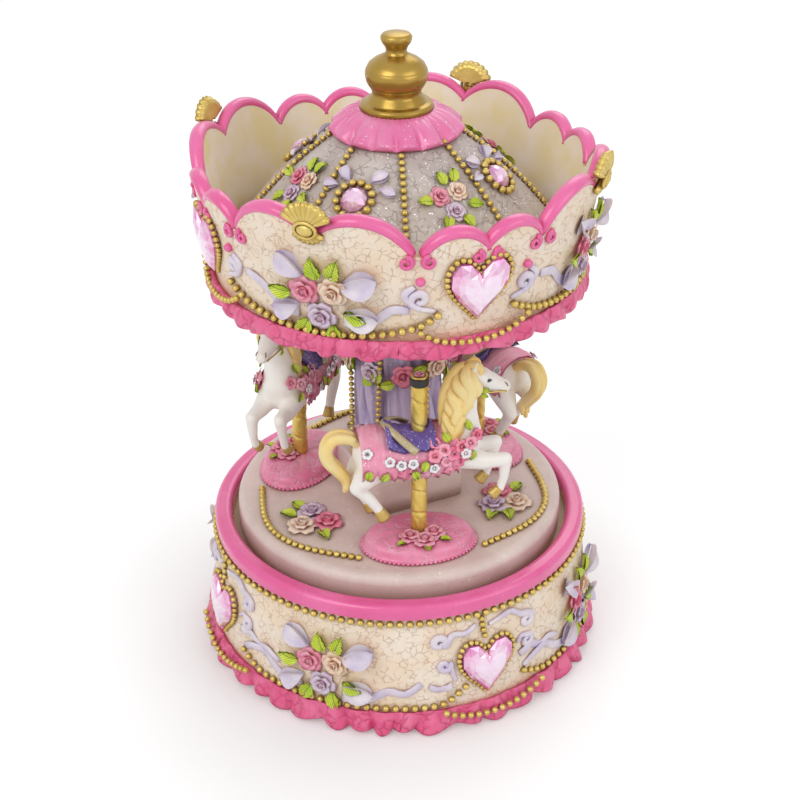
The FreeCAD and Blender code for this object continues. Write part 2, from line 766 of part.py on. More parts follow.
# Pinned cylinder on its axle, with the pinion and the wheel
drum = rod(drum_radius, V(cylinder_start, 0, axle_height), V(cylinder_end, 0, axle_height))
pinion_start = crown_pitch_radius - pinion_face / 2.0
axle = rod(axle_radius, V(pinion_start, 0, axle_height), V(axle_end, 0, axle_height))
pins = []
for note in range(note_count):
    x = cylinder_start + (note + 0.5) * note_pitch
    for pin in range(pins_per_note):
        turn = math.radians(note * pin_turn + pin * 360.0 / pins_per_note)
        aim = V(0, math.cos(turn), math.sin(turn))
        middle = V(x, 0, axle_height)
        pin_foot = middle + aim * (drum_radius - pin_length)
        pin_tip = middle + aim * (drum_radius + pin_length)
        pins.append(rod(pin_radius, pin_foot, pin_tip))
write(drum.fuse(axle).multiFuse(pins), "pinned_cylinder")
pinion = lying_gear(pinion_teeth, crown_module, pinion_face, pinion_start, 0, axle_height, -90.0)
write(pinion.cut(axle), "cylinder_pinion")
cylinder_wheel = lying_gear(cylinder_wheel_teeth, train_module, wheel_face, wheel_start, 0, axle_height, 0.0)
write(cylinder_wheel.cut(axle), "cylinder_wheel")

# Governor wheel: pinion, axle and worm wheel in one
governor_gap = 180.0 + 180.0 / governor_pinion_teeth
governor = lying_gear(
    governor_pinion_teeth, train_module, wheel_face, wheel_start, governor_axle_y, axle_height, governor_gap)
worm_gap = 180.0 / worm_wheel_teeth
worm_wheel = lying_gear(
    worm_wheel_teeth, worm_module, worm_wheel_face, worm_wheel_start, governor_axle_y, axle_height, worm_gap)
governor_axle_start = V(governor_post_start, governor_axle_y, axle_height)
governor_axle = rod(axle_radius, governor_axle_start, V(axle_end, governor_axle_y, axle_height))
write(governor.multiFuse([worm_wheel, governor_axle]), "governor_wheel")

# Governor worm and its fan
worm_pitch = math.pi * worm_module
worm_root = worm_pitch_radius - dedendum_share * worm_module
worm_tip = worm_pitch_radius + addendum_share * worm_module
thread_length = worm_thread_turns * worm_pitch
thread_start = axle_height + worm_pitch / 4.0 - worm_pitch * math.ceil(worm_thread_turns / 2.0)
helix = Part.makeHelix(worm_pitch, thread_length, worm_pitch_radius)
thread_foot = worm_pitch * tooth_share * tooth_thinning
thread_crest = worm_pitch * tooth_tip_share * tooth_thinning
thread_corners = [
    V(worm_root - thread_sink, 0, -thread_foot),
    V(worm_tip, 0, -thread_crest),
    V(worm_tip, 0, thread_crest),
    V(worm_root - thread_sink, 0, thread_foot),
]
thread_outline = Part.makePolygon(thread_corners + thread_corners[:1])
thread = Part.Wire(helix).makePipeShell([thread_outline], True, True)
thread.translate(V(worm_x, worm_y, thread_start))
thread_end = thread_start + thread_length
worm_core = cylinder(worm_root, thread_start - worm_pitch, thread_end + worm_pitch, worm_x, worm_y)
worm_shaft = cylinder(axle_radius, plate_seat_height, arm_top, worm_x, worm_y)
write(worm_core.fuse(worm_shaft).fuse(thread), "governor_worm")
fan = block(
    V(worm_x - fan_radius, worm_y - fan_thickness / 2.0, fan_bottom),
    V(worm_x + fan_radius, worm_y + fan_thickness / 2.0, fan_top))
fan = fan.fuse(cylinder(axle_radius + fan_thickness, fan_bottom, fan_top, worm_x, worm_y))
fan = fan.common(cylinder(fan_radius, fan_bottom, fan_top, worm_x, worm_y))
write(fan.cut(worm_shaft).removeSplitter(), "governor_fan")

# Turntable: thick disc, hollow below, with a hub for the drive shaft
table = cylinder(turntable_radius, turntable_bottom, turntable_top)
table_edges = [edge for edge in table.Edges if edge.BoundBox.ZMin > turntable_top - turntable_skin]
table = table.makeFillet(turntable_edge_round, table_edges)
table_hollow = cylinder(turntable_radius - turntable_skirt, turntable_bottom, turntable_top - turntable_skin)
table = table.cut(table_hollow.cut(cylinder(turntable_hub_radius, turntable_bottom, turntable_top)))
table = table.cut(cylinder(shaft_radius, turntable_bottom, shaft_top))
write(table, "turntable")

foot_top = turntable_top + column_foot_height
leaf_reach = column_foot_half_width + turntable_leaf_gap
leaf_limit = block(V(-leaf_reach, -leaf_reach, turntable_top), V(leaf_reach, leaf_reach, foot_top))
leaf_limit = around(leaf_limit, column_foot_turn)
table_arcs = []
table_roses = []
table_leaves = []
for seat in range(seat_count):
    middle = first_seat_azimuth + (seat + 0.5) * seat_step
    arc = Part.makeTorus(
        turntable_bead_radius, bead_radius, V(0, 0, turntable_top + bead_radius - bead_sink), UP,
        0, 360, 2.0 * turntable_bead_half_span)
    arc.rotate(ORIGIN, UP, -90.0 + middle - turntable_bead_half_span)
    table_arcs.append(arc.cut(table))
    blooms = bouquet_roses(turntable_rose_radius)
    blades = bouquet_leaves(turntable_rose_radius)
    for pieces, kept in ((blooms, table_roses), (blades, table_leaves)):
        for piece in pieces:
            piece.translate(V(0, -turntable_rose_circle, turntable_top))
            kept.append(around(piece, middle).cut(table).cut(leaf_limit))
write(Part.makeCompound(table_arcs), "turntable_bead_arcs")
write(Part.makeCompound(table_roses), "turntable_roses")
write(Part.makeCompound(table_leaves), "turntable_leaves")

# Centre column: square foot, draped shaft with folds, flared top
flare_start = ceiling_bottom - column_flare_height
column = block(
    V(-column_foot_half_width, -column_foot_half_width, turntable_top),
    V(column_foot_half_width, column_foot_half_width, foot_top))
foot_edges = [edge for edge in column.Edges if edge.BoundBox.ZLength > column_foot_height / 2.0]
column = around(column.makeFillet(column_foot_round, foot_edges), column_foot_turn)
drape = frilled(
    column_waist_radius + column_fold_depth, column_fold_depth, foot_top,
    column_waist_radius, column_fold_depth / 2.0, flare_start, column_folds)
flare = frilled(
    column_waist_radius, column_fold_depth / 2.0, flare_start,
    column_top_radius, column_fold_depth, ceiling_bottom, column_folds)
write(column.fuse(drape).fuse(flare), "column")

# Plinths, poles and horses
plinth_curve = Part.Ellipse(ORIGIN, plinth_length / 2.0, plinth_width / 2.0)
plinth = Part.Face(Part.Wire(plinth_curve.toShape())).extrude(V(0, 0, plinth_thickness))
plinth_edges = [edge for edge in plinth.Edges if edge.BoundBox.ZMin > plinth_thickness / 2.0]
plinth = plinth.makeFillet(plinth_round, plinth_edges)
plinth = plinth.cut(cylinder(pole_radius, 0, plinth_thickness))

pole = cylinder(pole_radius, 0, pole_length)
groove_height = plinth_thickness + pole_segment
while groove_height < pole_length - pole_segment / 2.0:
    groove_top = groove_height + pole_groove_width
    groove = cylinder(pole_radius + pole_groove_width, groove_height, groove_top)
    groove = groove.cut(cylinder(pole_radius - pole_groove_depth, groove_height, groove_top))
    pole = pole.cut(groove)
    groove_height += pole_segment
pole = pole.cut(cylinder(pole_bore_radius, pole_length - pole_bore_depth, pole_length))

# Horse in one casting
horse_chains = (
    horse_trunk, horse_neck, horse_head, horse_left_ear, horse_right_ear, horse_left_foreleg,
    horse_right_foreleg, horse_left_hindleg, horse_right_hindleg, horse_tail,
)


def limb(stations):
    """One faceted limb: rings of corners along its stations, drawn in at both ends."""
    points = [V(*station[:3]) for station in stations]
    radii = [station[3] for station in stations]
    first_aim = points[1].sub(points[0]).normalize()
    last_aim = points[-1].sub(points[-2]).normalize()
    aims = [first_aim]
    for before, after in zip(points[:-2], points[2:]):
        aims.append(after.sub(before).normalize())
    aims.append(last_aim)
    rings = [(points[0] - first_aim * radii[0], first_aim, radii[0] * limb_tip_share)]
    rings += list(zip(points, aims, radii))
    rings.append((points[-1] + last_aim * radii[-1], last_aim, radii[-1] * limb_tip_share))
    wires = []
    for centre, aim, radius in rings:
        side = V(0, 1, 0)
        upright = aim.cross(side).normalize()
        corners = []
        for corner in range(limb_sides):
            turn = 2.0 * math.pi * (corner + 0.5) / limb_sides
            corners.append(centre + side * (radius * math.cos(turn)) + upright * (radius * math.sin(turn)))
        wires.append(Part.makePolygon(corners + corners[:1]))
    return Part.makeLoft(wires, True, True)


limbs = [limb(stations) for stations in horse_chains]
horse = limbs[0].multiFuse(limbs[1:])
horse = horse.cut(cylinder(pole_radius, 0, pole_length))

seat_names = ("front", "right", "left")
for seat, name in enumerate(seat_names[:seat_count]):
    azimuth = first_seat_azimuth + seat * seat_step
    for shape, piece in ((plinth, "plinth_"), (pole, "pole_"), (horse, "horse_")):
        seated = shape.copy()
        seated.translate(V(0, -seat_circle_radius, turntable_top))
        write(around(seated, azimuth), piece + name)

# Canopy ceiling and the lobed crown
ceiling_radius = crown_foot_radius - crown_wall
write(cylinder(ceiling_radius, ceiling_bottom, ceiling_top), "canopy_ceiling")
crown_outside = ring_solid([
    (0, ceiling_bottom),
    (crown_foot_radius, ceiling_bottom),
    (crown_foot_radius, crown_foot_top),
    (crown_lip_radius, crown_top),
    (0, crown_top),
])
crown_inside = ring_solid([
    (0, ceiling_bottom),
    (crown_foot_radius - crown_wall, ceiling_bottom),
    (crown_foot_radius - crown_wall, crown_foot_top),
    (crown_lip_radius - crown_wall, crown_top),
    (0, crown_top),
])
lobe_reach = crown_lip_radius + crown_wall


def lobe(azimuth, half_angle, rise):
    """Rounded petal of the crown's edge, as a prism along the radius."""
    half = crown_lip_radius * math.sin(math.radians(half_angle))
    low_left = V(-half, 0, ceiling_bottom)
    low_right = V(half, 0, ceiling_bottom)
    high_left = V(-half, 0, crown_notch)
    high_right = V(half, 0, crown_notch)
    edges = [
        Part.makeLine(low_left, low_right),
        Part.makeLine(low_right, high_right),
        Part.Arc(high_right, V(0, 0, crown_notch + rise), high_left).toShape(),
        Part.makeLine(high_left, low_left),
    ]
    return around(Part.Face(Part.Wire(edges)).extrude(V(0, -lobe_reach, 0)), azimuth)


lobes = []
for repeat in range(ornament_repeats):
    for azimuth in big_lobe_azimuths:
        lobes.append(lobe(azimuth + repeat * quarter, big_lobe_half_angle, big_lobe_rise))
    for azimuth in small_lobe_azimuths:
        lobes.append(lobe(azimuth + repeat * quarter, small_lobe_half_angle, small_lobe_rise))
low_band = cylinder(lobe_reach, ceiling_bottom, crown_notch)
crown_limit = low_band.multiFuse(lobes)
crown = crown_outside.cut(crown_inside).common(crown_limit)
write(crown.removeSplitter(), "canopy_crown")

frill_bottom = ceiling_bottom - frill_drop
frill_top = frill_bottom + frill_height
frill = frilled(
    crown_foot_radius + frill_spread - frill_wave_depth, frill_wave_depth, frill_bottom,
    crown_foot_radius + frill_top_stand, frill_top_wave_depth, frill_top, frill_waves)
frill = frill.cut(cylinder(crown_foot_radius, frill_bottom, ceiling_bottom)).cut(crown_outside)
write(frill, "canopy_ruffle")


def crown_radius(rise):
    """Outside radius of the crown at a height above the ceiling's underside."""
    above = max(0.0, rise - crown_foot_height)
    slope = (crown_lip_radius - crown_foot_radius) / (crown_top - crown_foot_top)
    return crown_foot_radius + above * slope


crown_lean = math.degrees(math.atan2(crown_lip_radius - crown_foot_radius, crown_top - crown_foot_top))
bead_rise = frill_height - frill_drop + bead_radius
string_radius = crown_radius(bead_rise) + bead_radius - bead_sink
canopy_string = Part.makeTorus(string_radius, bead_radius, V(0, 0, ceiling_bottom + bead_rise))
write(canopy_string.cut(crown_outside).cut(frill), "canopy_bead_string")

crown_gems = []
crown_shells = []
shell_points = []
for step in range(shell_ribs + 1):
    turn = math.pi * (1.0 - step / shell_ribs)
    shell_points.append(V(shell_radius * math.cos(turn), 0, shell_radius * math.sin(turn)))
shell_edges = []
for start, end in zip(shell_points[:-1], shell_points[1:]):
    middle = (start + end) * 0.5
    shell_edges.append(Part.Arc(start, middle * shell_rib_swell, end).toShape())
shell_foot = V(0, 0, -shell_radius * shell_foot_share)
shell_edges.append(Part.makeLine(shell_points[-1], shell_foot))
shell_edges.append(Part.makeLine(shell_foot, shell_points[0]))
fan_shell = Part.Face(Part.Wire(shell_edges)).extrude(V(0, -(shell_thickness + shell_sink), 0))
fan_shell.translate(V(0, shell_sink, 0))
crown_gem = heart_gem(crown_heart_width, crown_heart_length)
crown_gem_place = (crown_radius(crown_heart_height), ceiling_bottom + crown_heart_height, crown_lean)
shell_place = (crown_radius(shell_height), ceiling_bottom + shell_height, crown_lean)
for repeat in range(ornament_repeats):
    gem = on_wall(crown_gem, crown_heart_azimuth + repeat * quarter, *crown_gem_place)
    crown_gems.append(gem.cut(crown_outside))
    crown_shells.append(on_wall(fan_shell, bouquet_azimuth + repeat * quarter, *shell_place).cut(crown))
write(Part.makeCompound(crown_gems), "crown_heart_gems")
write(Part.makeCompound(crown_shells), "crown_shells")

bouquet_height = ceiling_bottom + crown_bouquet_height
crown_bouquet = (crown_bouquet_azimuth, crown_radius(crown_bouquet_height), bouquet_height, crown_lean)
write(round_wall(bouquet_roses(rose_radius), *crown_bouquet, crown_outside), "crown_roses")
write(round_wall(bouquet_leaves(rose_radius), *crown_bouquet, crown_outside), "crown_leaves")

# Domed roof standing on the ceiling
eave = V(roof_radius, 0, roof_eave)
peak = V(collar_neck_radius, 0, roof_top)
slope = peak.sub(eave)
bulge_aim = V(slope.z, 0, -slope.x).normalize()
crest = (eave + peak) * 0.5 + bulge_aim * roof_bulge
roof_line = [
    Part.Arc(eave, crest, peak).toShape(),
    Part.makeLine(peak, V(0, 0, roof_top)),
    Part.makeLine(V(0, 0, roof_top), V(0, 0, ceiling_top)),
    Part.makeLine(V(0, 0, ceiling_top), V(roof_radius, 0, ceiling_top)),
    Part.makeLine(V(roof_radius, 0, ceiling_top), eave),
]
roof_full = Part.Face(Part.Wire(roof_line)).revolve(ORIGIN, UP, 360)
hollow = ring_solid([
    (0, ceiling_top),
    (roof_radius - roof_wall, ceiling_top),
    (roof_radius - roof_wall, roof_eave - roof_wall),
    (collar_neck_radius - roof_wall, roof_top - roof_wall),
    (0, roof_top - roof_wall),
])
write(roof_full.cut(hollow), "roof")

roof_arc = Part.Arc(eave, crest, peak).toShape().Curve


def roof_seat(radius):
    """Height of the roof's surface at a radius, and how far it leans out there."""
    reach = radius - roof_arc.Center.x
    rise = math.sqrt(roof_arc.Radius ** 2 - reach ** 2)
    return roof_arc.Center.z + rise, math.degrees(math.atan2(reach, rise))


collar_wires = [
    wavy_wire(collar_radius, collar_wave_depth, collar_waves, collar_bottom),
    wavy_wire(collar_neck_radius, collar_wave_depth / 4.0, collar_waves, collar_top),
]
collar = Part.makeLoft(collar_wires, True, True).cut(roof_full)
collar = max(collar.Solids, key=lambda solid: solid.Volume)
write(collar, "roof_collar")

rib_centre = roof_arc.Center
rib_ring = Part.makeTorus(roof_arc.Radius + rib_radius - bead_sink, rib_radius, rib_centre, V(0, 1, 0))
rib_zone = ring_solid([
    (collar_radius + collar_wave_depth + rib_radius, ceiling_top),
    (roof_radius, ceiling_top),
    (roof_radius, roof_top),
    (collar_radius + collar_wave_depth + rib_radius, roof_top),
])
half_space = block(V(0, -roof_radius, ceiling_top), V(roof_radius, roof_radius, roof_top))
rib = rib_ring.common(rib_zone).common(half_space).cut(roof_full)
ribs = [around(rib, -90.0 + rib_azimuth + step * 360.0 / rib_count) for step in range(rib_count)]
write(Part.makeCompound(ribs), "roof_ribs")

stone = ring_solid([
    (0, -gem_sink), (roof_gem_radius, -gem_sink), (roof_gem_radius, roof_gem_height / 2.0),
    (roof_gem_radius * gem_table_share, roof_gem_height), (0, roof_gem_height)])
bezel = ring_solid([
    (roof_gem_radius, -gem_sink), (roof_gem_radius + bezel_width, -gem_sink),
    (roof_gem_radius + bezel_width, bezel_height), (roof_gem_radius, bezel_height)])


def on_roof(pieces, azimuth):
    """Put pieces made pointing up on the roof at every repeat, trimmed to it."""
    height, lean = roof_seat(roof_ornament_radius)
    placed = []
    for repeat in range(ornament_repeats):
        for piece in pieces:
            seated = piece.copy()
            seated.rotate(ORIGIN, RIGHT, lean)
            seated.translate(V(0, -roof_ornament_radius, height))
            placed.append(around(seated, azimuth + repeat * quarter).cut(roof_full))
    return Part.makeCompound(placed)


write(on_roof([stone], bouquet_azimuth), "roof_gems")
write(on_roof([bezel], bouquet_azimuth), "roof_gem_bezels")
write(on_roof(bouquet_roses(roof_rose_radius), roof_rose_azimuth), "roof_roses")

# Finial: turned foot, ringed waist, bulb, neck and knob
foot_end = collar_top + finial_foot_height
ring_end = foot_end + finial_ring_height
bulb_middle = ring_end + finial_waist_height + finial_bulb_radius * finial_bulb_flatness
knob_middle = collar_top + finial_height - finial_knob_radius
finial = ring_solid([
    (0, collar_top),
    (finial_foot_radius, collar_top),
    (finial_foot_radius, foot_end),
    (finial_ring_radius, foot_end),
    (finial_ring_radius, ring_end),
    (finial_waist_radius, ring_end),
    (finial_waist_radius, bulb_middle),
    (finial_neck_radius, bulb_middle),
    (finial_neck_radius, knob_middle),
    (0, knob_middle),
])
bulb = Part.makeSphere(finial_bulb_radius, ORIGIN)
flatten = FreeCAD.Matrix()
flatten.scale(V(1, 1, finial_bulb_flatness))
bulb = bulb.transformGeometry(flatten)
bulb.translate(V(0, 0, bulb_middle))
knob = Part.makeSphere(finial_knob_radius, V(0, 0, knob_middle))
write(finial.multiFuse([bulb, knob]).removeSplitter(), "finial")
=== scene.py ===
import math

import bpy
import numpy as np
from mathutils import Matrix, Vector


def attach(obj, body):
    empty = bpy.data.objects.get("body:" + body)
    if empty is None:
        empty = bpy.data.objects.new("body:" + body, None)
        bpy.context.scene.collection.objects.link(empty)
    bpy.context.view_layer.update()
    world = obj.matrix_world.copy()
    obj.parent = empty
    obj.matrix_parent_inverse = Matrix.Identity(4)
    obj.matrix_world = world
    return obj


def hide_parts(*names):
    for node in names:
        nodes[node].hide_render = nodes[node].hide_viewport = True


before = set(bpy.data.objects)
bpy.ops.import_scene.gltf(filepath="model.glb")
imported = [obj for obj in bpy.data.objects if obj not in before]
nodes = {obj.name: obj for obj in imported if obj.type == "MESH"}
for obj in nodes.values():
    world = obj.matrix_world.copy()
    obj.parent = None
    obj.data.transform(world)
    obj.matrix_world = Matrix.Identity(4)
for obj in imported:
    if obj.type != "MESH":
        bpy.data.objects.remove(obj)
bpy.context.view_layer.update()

# %% [markdown]
# # A carousel music box
# The object is a painted resin ornament about 165 mm tall. A drum-shaped base holds a wind-up
# movement; above it a turntable carries three horses on gold poles, a draped column and a canopy
# with a petal-shaped crown. The solid model is already loaded as the frame. This lesson dresses it:
# it keeps the solids whose shape is right, and models the frills, roses, stones and horses afresh.

# %% [markdown]
# ## Tools of the bench
# Most pieces here follow a round wall, so one helper is used again and again. It adds a flat grid
# with an operator and then moves each of its points to its place on the piece, much as a strip of
# clay is wrapped round a pot. Sizes are written in millimetres and turned into metres at the end.

# %% Bench helpers
MM = 0.001
TURN = 2.0 * math.pi


def put_down_all():
    """Leave edit mode and deselect everything, so the next operator acts on one piece only."""
    if bpy.context.object and bpy.context.object.mode != "OBJECT":
        bpy.ops.object.mode_set(mode="OBJECT")
    bpy.ops.object.select_all(action="DESELECT")


def pick(piece):
    """Make one piece the selected and active one."""
    put_down_all()
    piece.select_set(True)
    bpy.context.view_layer.objects.active = piece


def named(name):
    """Name the piece that an operator has just added."""
    piece = bpy.context.object
    piece.name = name
    piece.data.name = name
    return piece


def mended(piece, smooth=True, seam=2e-6):
    """Close the seams of a piece and point its faces outwards."""
    pick(piece)
    bpy.ops.object.mode_set(mode="EDIT")
    bpy.ops.mesh.select_all(action="SELECT")
    bpy.ops.mesh.remove_doubles(threshold=seam)
    bpy.ops.mesh.normals_make_consistent(inside=False)
    bpy.ops.object.mode_set(mode="OBJECT")
    if smooth:
        bpy.ops.object.shade_smooth()
    return piece


def wrapped(name, around, across, place, smooth=True):
    """A grid whose points are moved to place(u, v), both from 0 to 1, in millimetres."""
    put_down_all()
    bpy.ops.mesh.primitive_grid_add(x_subdivisions=around, y_subdivisions=across, size=1)
    piece = named(name)
    flat = np.empty(len(piece.data.vertices) * 3)
    piece.data.vertices.foreach_get("co", flat)
    flat = flat.reshape(-1, 3)
    points = np.stack(place(flat[:, 0] + 0.5, flat[:, 1] + 0.5), axis=1) * MM
    piece.data.vertices.foreach_set("co", points.ravel())
    piece.data.update()
    return mended(piece, smooth)


def turned(name, outline, steps=96):
    """A closed outline of (radius, height) points spun about the upright axis, as on a lathe."""
    put_down_all()
    bpy.ops.mesh.primitive_circle_add(vertices=len(outline), radius=1)
    piece = named(name)
    for point, (radius, height) in zip(piece.data.vertices, outline):
        point.co = (radius * MM, 0, height * MM)
    pick(piece)
    bpy.ops.object.mode_set(mode="EDIT")
    bpy.ops.mesh.select_all(action="SELECT")
    bpy.ops.mesh.spin(steps=steps, angle=TURN, center=(0, 0, 0), axis=(0, 0, 1))
    bpy.ops.object.mode_set(mode="OBJECT")
    return mended(piece)


def polar(azimuth, radius, height):
    """Points on a round wall; azimuth in degrees from the front towards the right."""
    angle = np.radians(azimuth)
    return radius * np.sin(angle), -radius * np.cos(angle), height + 0 * angle


def count(piece):
    """Print how many faces a piece has."""
    print(piece.name, len(piece.data.polygons), "faces")


# %% [markdown]
# ## Copies and seats
# Beads, roses and leaves repeat many times. Each is modelled once and then copied, scaled and
# turned to its seats as one mesh. A seat is a small frame on the surface: right, up and outwards.

# %% Seats and copies
def seat(right, up, out, place, size=1.0, roll=0.0, stand=0.0):
    """A 4 by 4 seat from three directions and a place in millimetres."""
    right, up, out = (np.array(direction, float) for direction in (right, up, out))
    turn = math.radians(roll)
    across = right * math.cos(turn) + up * math.sin(turn)
    along = up * math.cos(turn) - right * math.sin(turn)
    made = np.eye(4)
    made[:3, 0] = across * size
    made[:3, 1] = along * size
    made[:3, 2] = out * size
    made[:3, 3] = np.array(place, float) + out * stand
    return made


def wall_seat(azimuth, radius, height, lean=0.0, **more):
    """A seat on an upright or leaning wall; lean tips its top outwards, in degrees."""
    angle, tip = math.radians(azimuth), math.radians(lean)
    away = np.array((math.sin(angle), -math.cos(angle), 0))
    high = np.array((0, 0, 1.0))
    right = (math.cos(angle), math.sin(angle), 0)
    up = high * math.cos(tip) + away * math.sin(tip)
    out = away * math.cos(tip) - high * math.sin(tip)
    return seat(right, up, out, away * radius + high * height, **more)


def flat_seat(place, size, **more):
    """A seat that faces straight up."""
    return seat((1, 0, 0), (0, 1, 0), (0, 0, 1), place, size, **more)


def copied(name, model, seats, tints=None):
    """Copy a small model, made in millimetres, to many seats as one mesh, with a tint for each."""
    mesh = model.data
    points = np.empty(len(mesh.vertices) * 3)
    mesh.vertices.foreach_get("co", points)
    points = points.reshape(-1, 3) / MM
    faces = [tuple(face.vertices) for face in mesh.polygons]
    all_points, all_faces = [], []
    for number, place in enumerate(seats):
        all_points.append(points @ place[:3, :3].T + place[:3, 3])
        shift = number * len(points)
        all_faces += [tuple(corner + shift for corner in face) for face in faces]
    new_mesh = bpy.data.meshes.new(name)
    new_mesh.from_pydata(np.concatenate(all_points) * MM, [], all_faces)
    new_mesh.polygons.foreach_set("use_smooth", [face.use_smooth for face in mesh.polygons] * len(seats))
    for layer in mesh.attributes:
        if layer.data_type == "FLOAT_COLOR":
            values = np.empty(len(mesh.vertices) * 4)
            layer.data.foreach_get("color", values)
            carried = new_mesh.attributes.new(layer.name, "FLOAT_COLOR", "POINT")
            carried.data.foreach_set("color", np.tile(values, len(seats)))
    if tints:
        layer = new_mesh.attributes.new("tint", "FLOAT_COLOR", "POINT")
        layer.data.foreach_set("color", np.repeat(np.array(tints, float), len(points), axis=0).ravel())
    new_mesh.update()
    piece = bpy.data.objects.new(name, new_mesh)
    bpy.context.scene.collection.objects.link(piece)
    return piece


def put_away(model):
    """Delete a model once its copies are made."""
    bpy.data.objects.remove(model)


def marked(piece, layer_name, values):
    """Write a colour for each point of a piece, for its material to read."""
    layer = piece.data.attributes.new(layer_name, "FLOAT_COLOR", "POINT")
    layer.data.foreach_set("color", np.asarray(values, float).ravel())
    return piece


def dressed(piece, material, body, slot, *stands_for):
    """Give a finished piece its material and its body, and hide the solids it stands for; slot is not used.
    """
    piece.data.materials.clear()
    piece.data.materials.append(material)
    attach(piece, body)
    if stands_for:
        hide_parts(*stands_for)
    count(piece)
    return piece


# %% [markdown]
# ## Effects that the finishes share
# The resin is cast and painted by hand. Four effects come back in many paints: cloudy mottling,
# hairline crackle, glitter dust and painted shade, which darkens the paint in its hollows. Each
# is a node group with its own dials, so that one change mends every paint that uses it.

# %% Small node tools
def colour(red, green, blue):
    """A colour picked on the usual 0 to 255 scale, made linear for the shader."""
    shares = (red / 255.0, green / 255.0, blue / 255.0)
    return tuple(s / 12.92 if s <= 0.04045 else ((s + 0.055) / 1.055) ** 2.4 for s in shares) + (1.0,)


def node(tree, kind, **settings):
    """Add a node with its settings."""
    made = tree.nodes.new(kind)
    for key, value in settings.items():
        setattr(made, key, value)
    return made


def feed(tree, source, socket):
    """Link a socket, or set a plain value."""
    if isinstance(source, bpy.types.NodeSocket):
        tree.links.new(source, socket)
    else:
        socket.default_value = source


def sum_of(tree, operation, first, second=0.0, clamp=False):
    """A Math node."""
    made = node(tree, "ShaderNodeMath", operation=operation, use_clamp=clamp)
    feed(tree, first, made.inputs[0])
    feed(tree, second, made.inputs[1])
    return made.outputs[0]


def spread(tree, value, low, high, to_low=0.0, to_high=1.0):
    """A Map Range node."""
    made = node(tree, "ShaderNodeMapRange")
    for source, socket in zip((value, low, high, to_low, to_high), made.inputs):
        feed(tree, source, socket)
    return made.outputs[0]


def mixed(tree, share, first, second):
    """A colour Mix node."""
    made = node(tree, "ShaderNodeMix", data_type="RGBA")
    feed(tree, share, made.inputs[0])
    feed(tree, first, made.inputs[6])
    feed(tree, second, made.inputs[7])
    return made.outputs[2]


def effect(name, dials, results):
    """An empty node group with its dials and results."""
    group = bpy.data.node_groups.new(name, "ShaderNodeTree")
    for label, value in dials:
        socket = group.interface.new_socket(label, in_out="INPUT", socket_type="NodeSocketFloat")
        socket.default_value = value
    for label, kind in results:
        group.interface.new_socket(label, in_out="OUTPUT", socket_type=kind)
    return group, node(group, "NodeGroupInput").outputs, node(group, "NodeGroupOutput").inputs


# %% Mottle, crackle, glitter and painted shade
mottle, dial, result = effect("mottle", [("Scale", 100.0)],
                              [("Cloud", "NodeSocketFloat"), ("Grain", "NodeSocketFloat")])
place = node(mottle, "ShaderNodeTexCoord").outputs["Object"]
cloud = node(mottle, "ShaderNodeTexNoise")
feed(mottle, place, cloud.inputs["Vector"])
feed(mottle, dial["Scale"], cloud.inputs["Scale"])
cloud.inputs["Detail"].default_value = 4.0
feed(mottle, spread(mottle, cloud.outputs[0], 0.35, 0.65), result["Cloud"])
grain = node(mottle, "ShaderNodeTexNoise")
feed(mottle, place, grain.inputs["Vector"])
feed(mottle, sum_of(mottle, "MULTIPLY", dial["Scale"], 12.0), grain.inputs["Scale"])
feed(mottle, grain.outputs[0], result["Grain"])

crackle, dial, result = effect(
    "crackle", [("Scale", 400.0), ("Warp", 0.0016), ("Width", 0.05)], [("Lines", "NodeSocketFloat")])
place = node(crackle, "ShaderNodeTexCoord").outputs["Object"]
bend = node(crackle, "ShaderNodeTexNoise")
feed(crackle, place, bend.inputs["Vector"])
feed(crackle, sum_of(crackle, "MULTIPLY", dial["Scale"], 1.3), bend.inputs["Scale"])
offset = node(crackle, "ShaderNodeVectorMath", operation="SUBTRACT")
feed(crackle, bend.outputs["Color"], offset.inputs[0])
offset.inputs[1].default_value = (0.5, 0.5, 0.5)
sway = node(crackle, "ShaderNodeVectorMath", operation="SCALE")
feed(crackle, offset.outputs[0], sway.inputs[0])
feed(crackle, dial["Warp"], sway.inputs["Scale"])
bent = node(crackle, "ShaderNodeVectorMath", operation="ADD")
feed(crackle, place, bent.inputs[0])
feed(crackle, sway.outputs[0], bent.inputs[1])
cells = node(crackle, "ShaderNodeTexVoronoi", feature="DISTANCE_TO_EDGE")
feed(crackle, bent.outputs[0], cells.inputs["Vector"])
feed(crackle, dial["Scale"], cells.inputs["Scale"])
gaps = node(crackle, "ShaderNodeTexNoise")
feed(crackle, place, gaps.inputs["Vector"])
feed(crackle, sum_of(crackle, "MULTIPLY", dial["Scale"], 0.9), gaps.inputs["Scale"])
line = spread(crackle, cells.outputs["Distance"], 0.0, dial["Width"], 1.0, 0.0)
kept = spread(crackle, gaps.outputs[0], 0.42, 0.54)
feed(crackle, sum_of(crackle, "MULTIPLY", line, kept), result["Lines"])

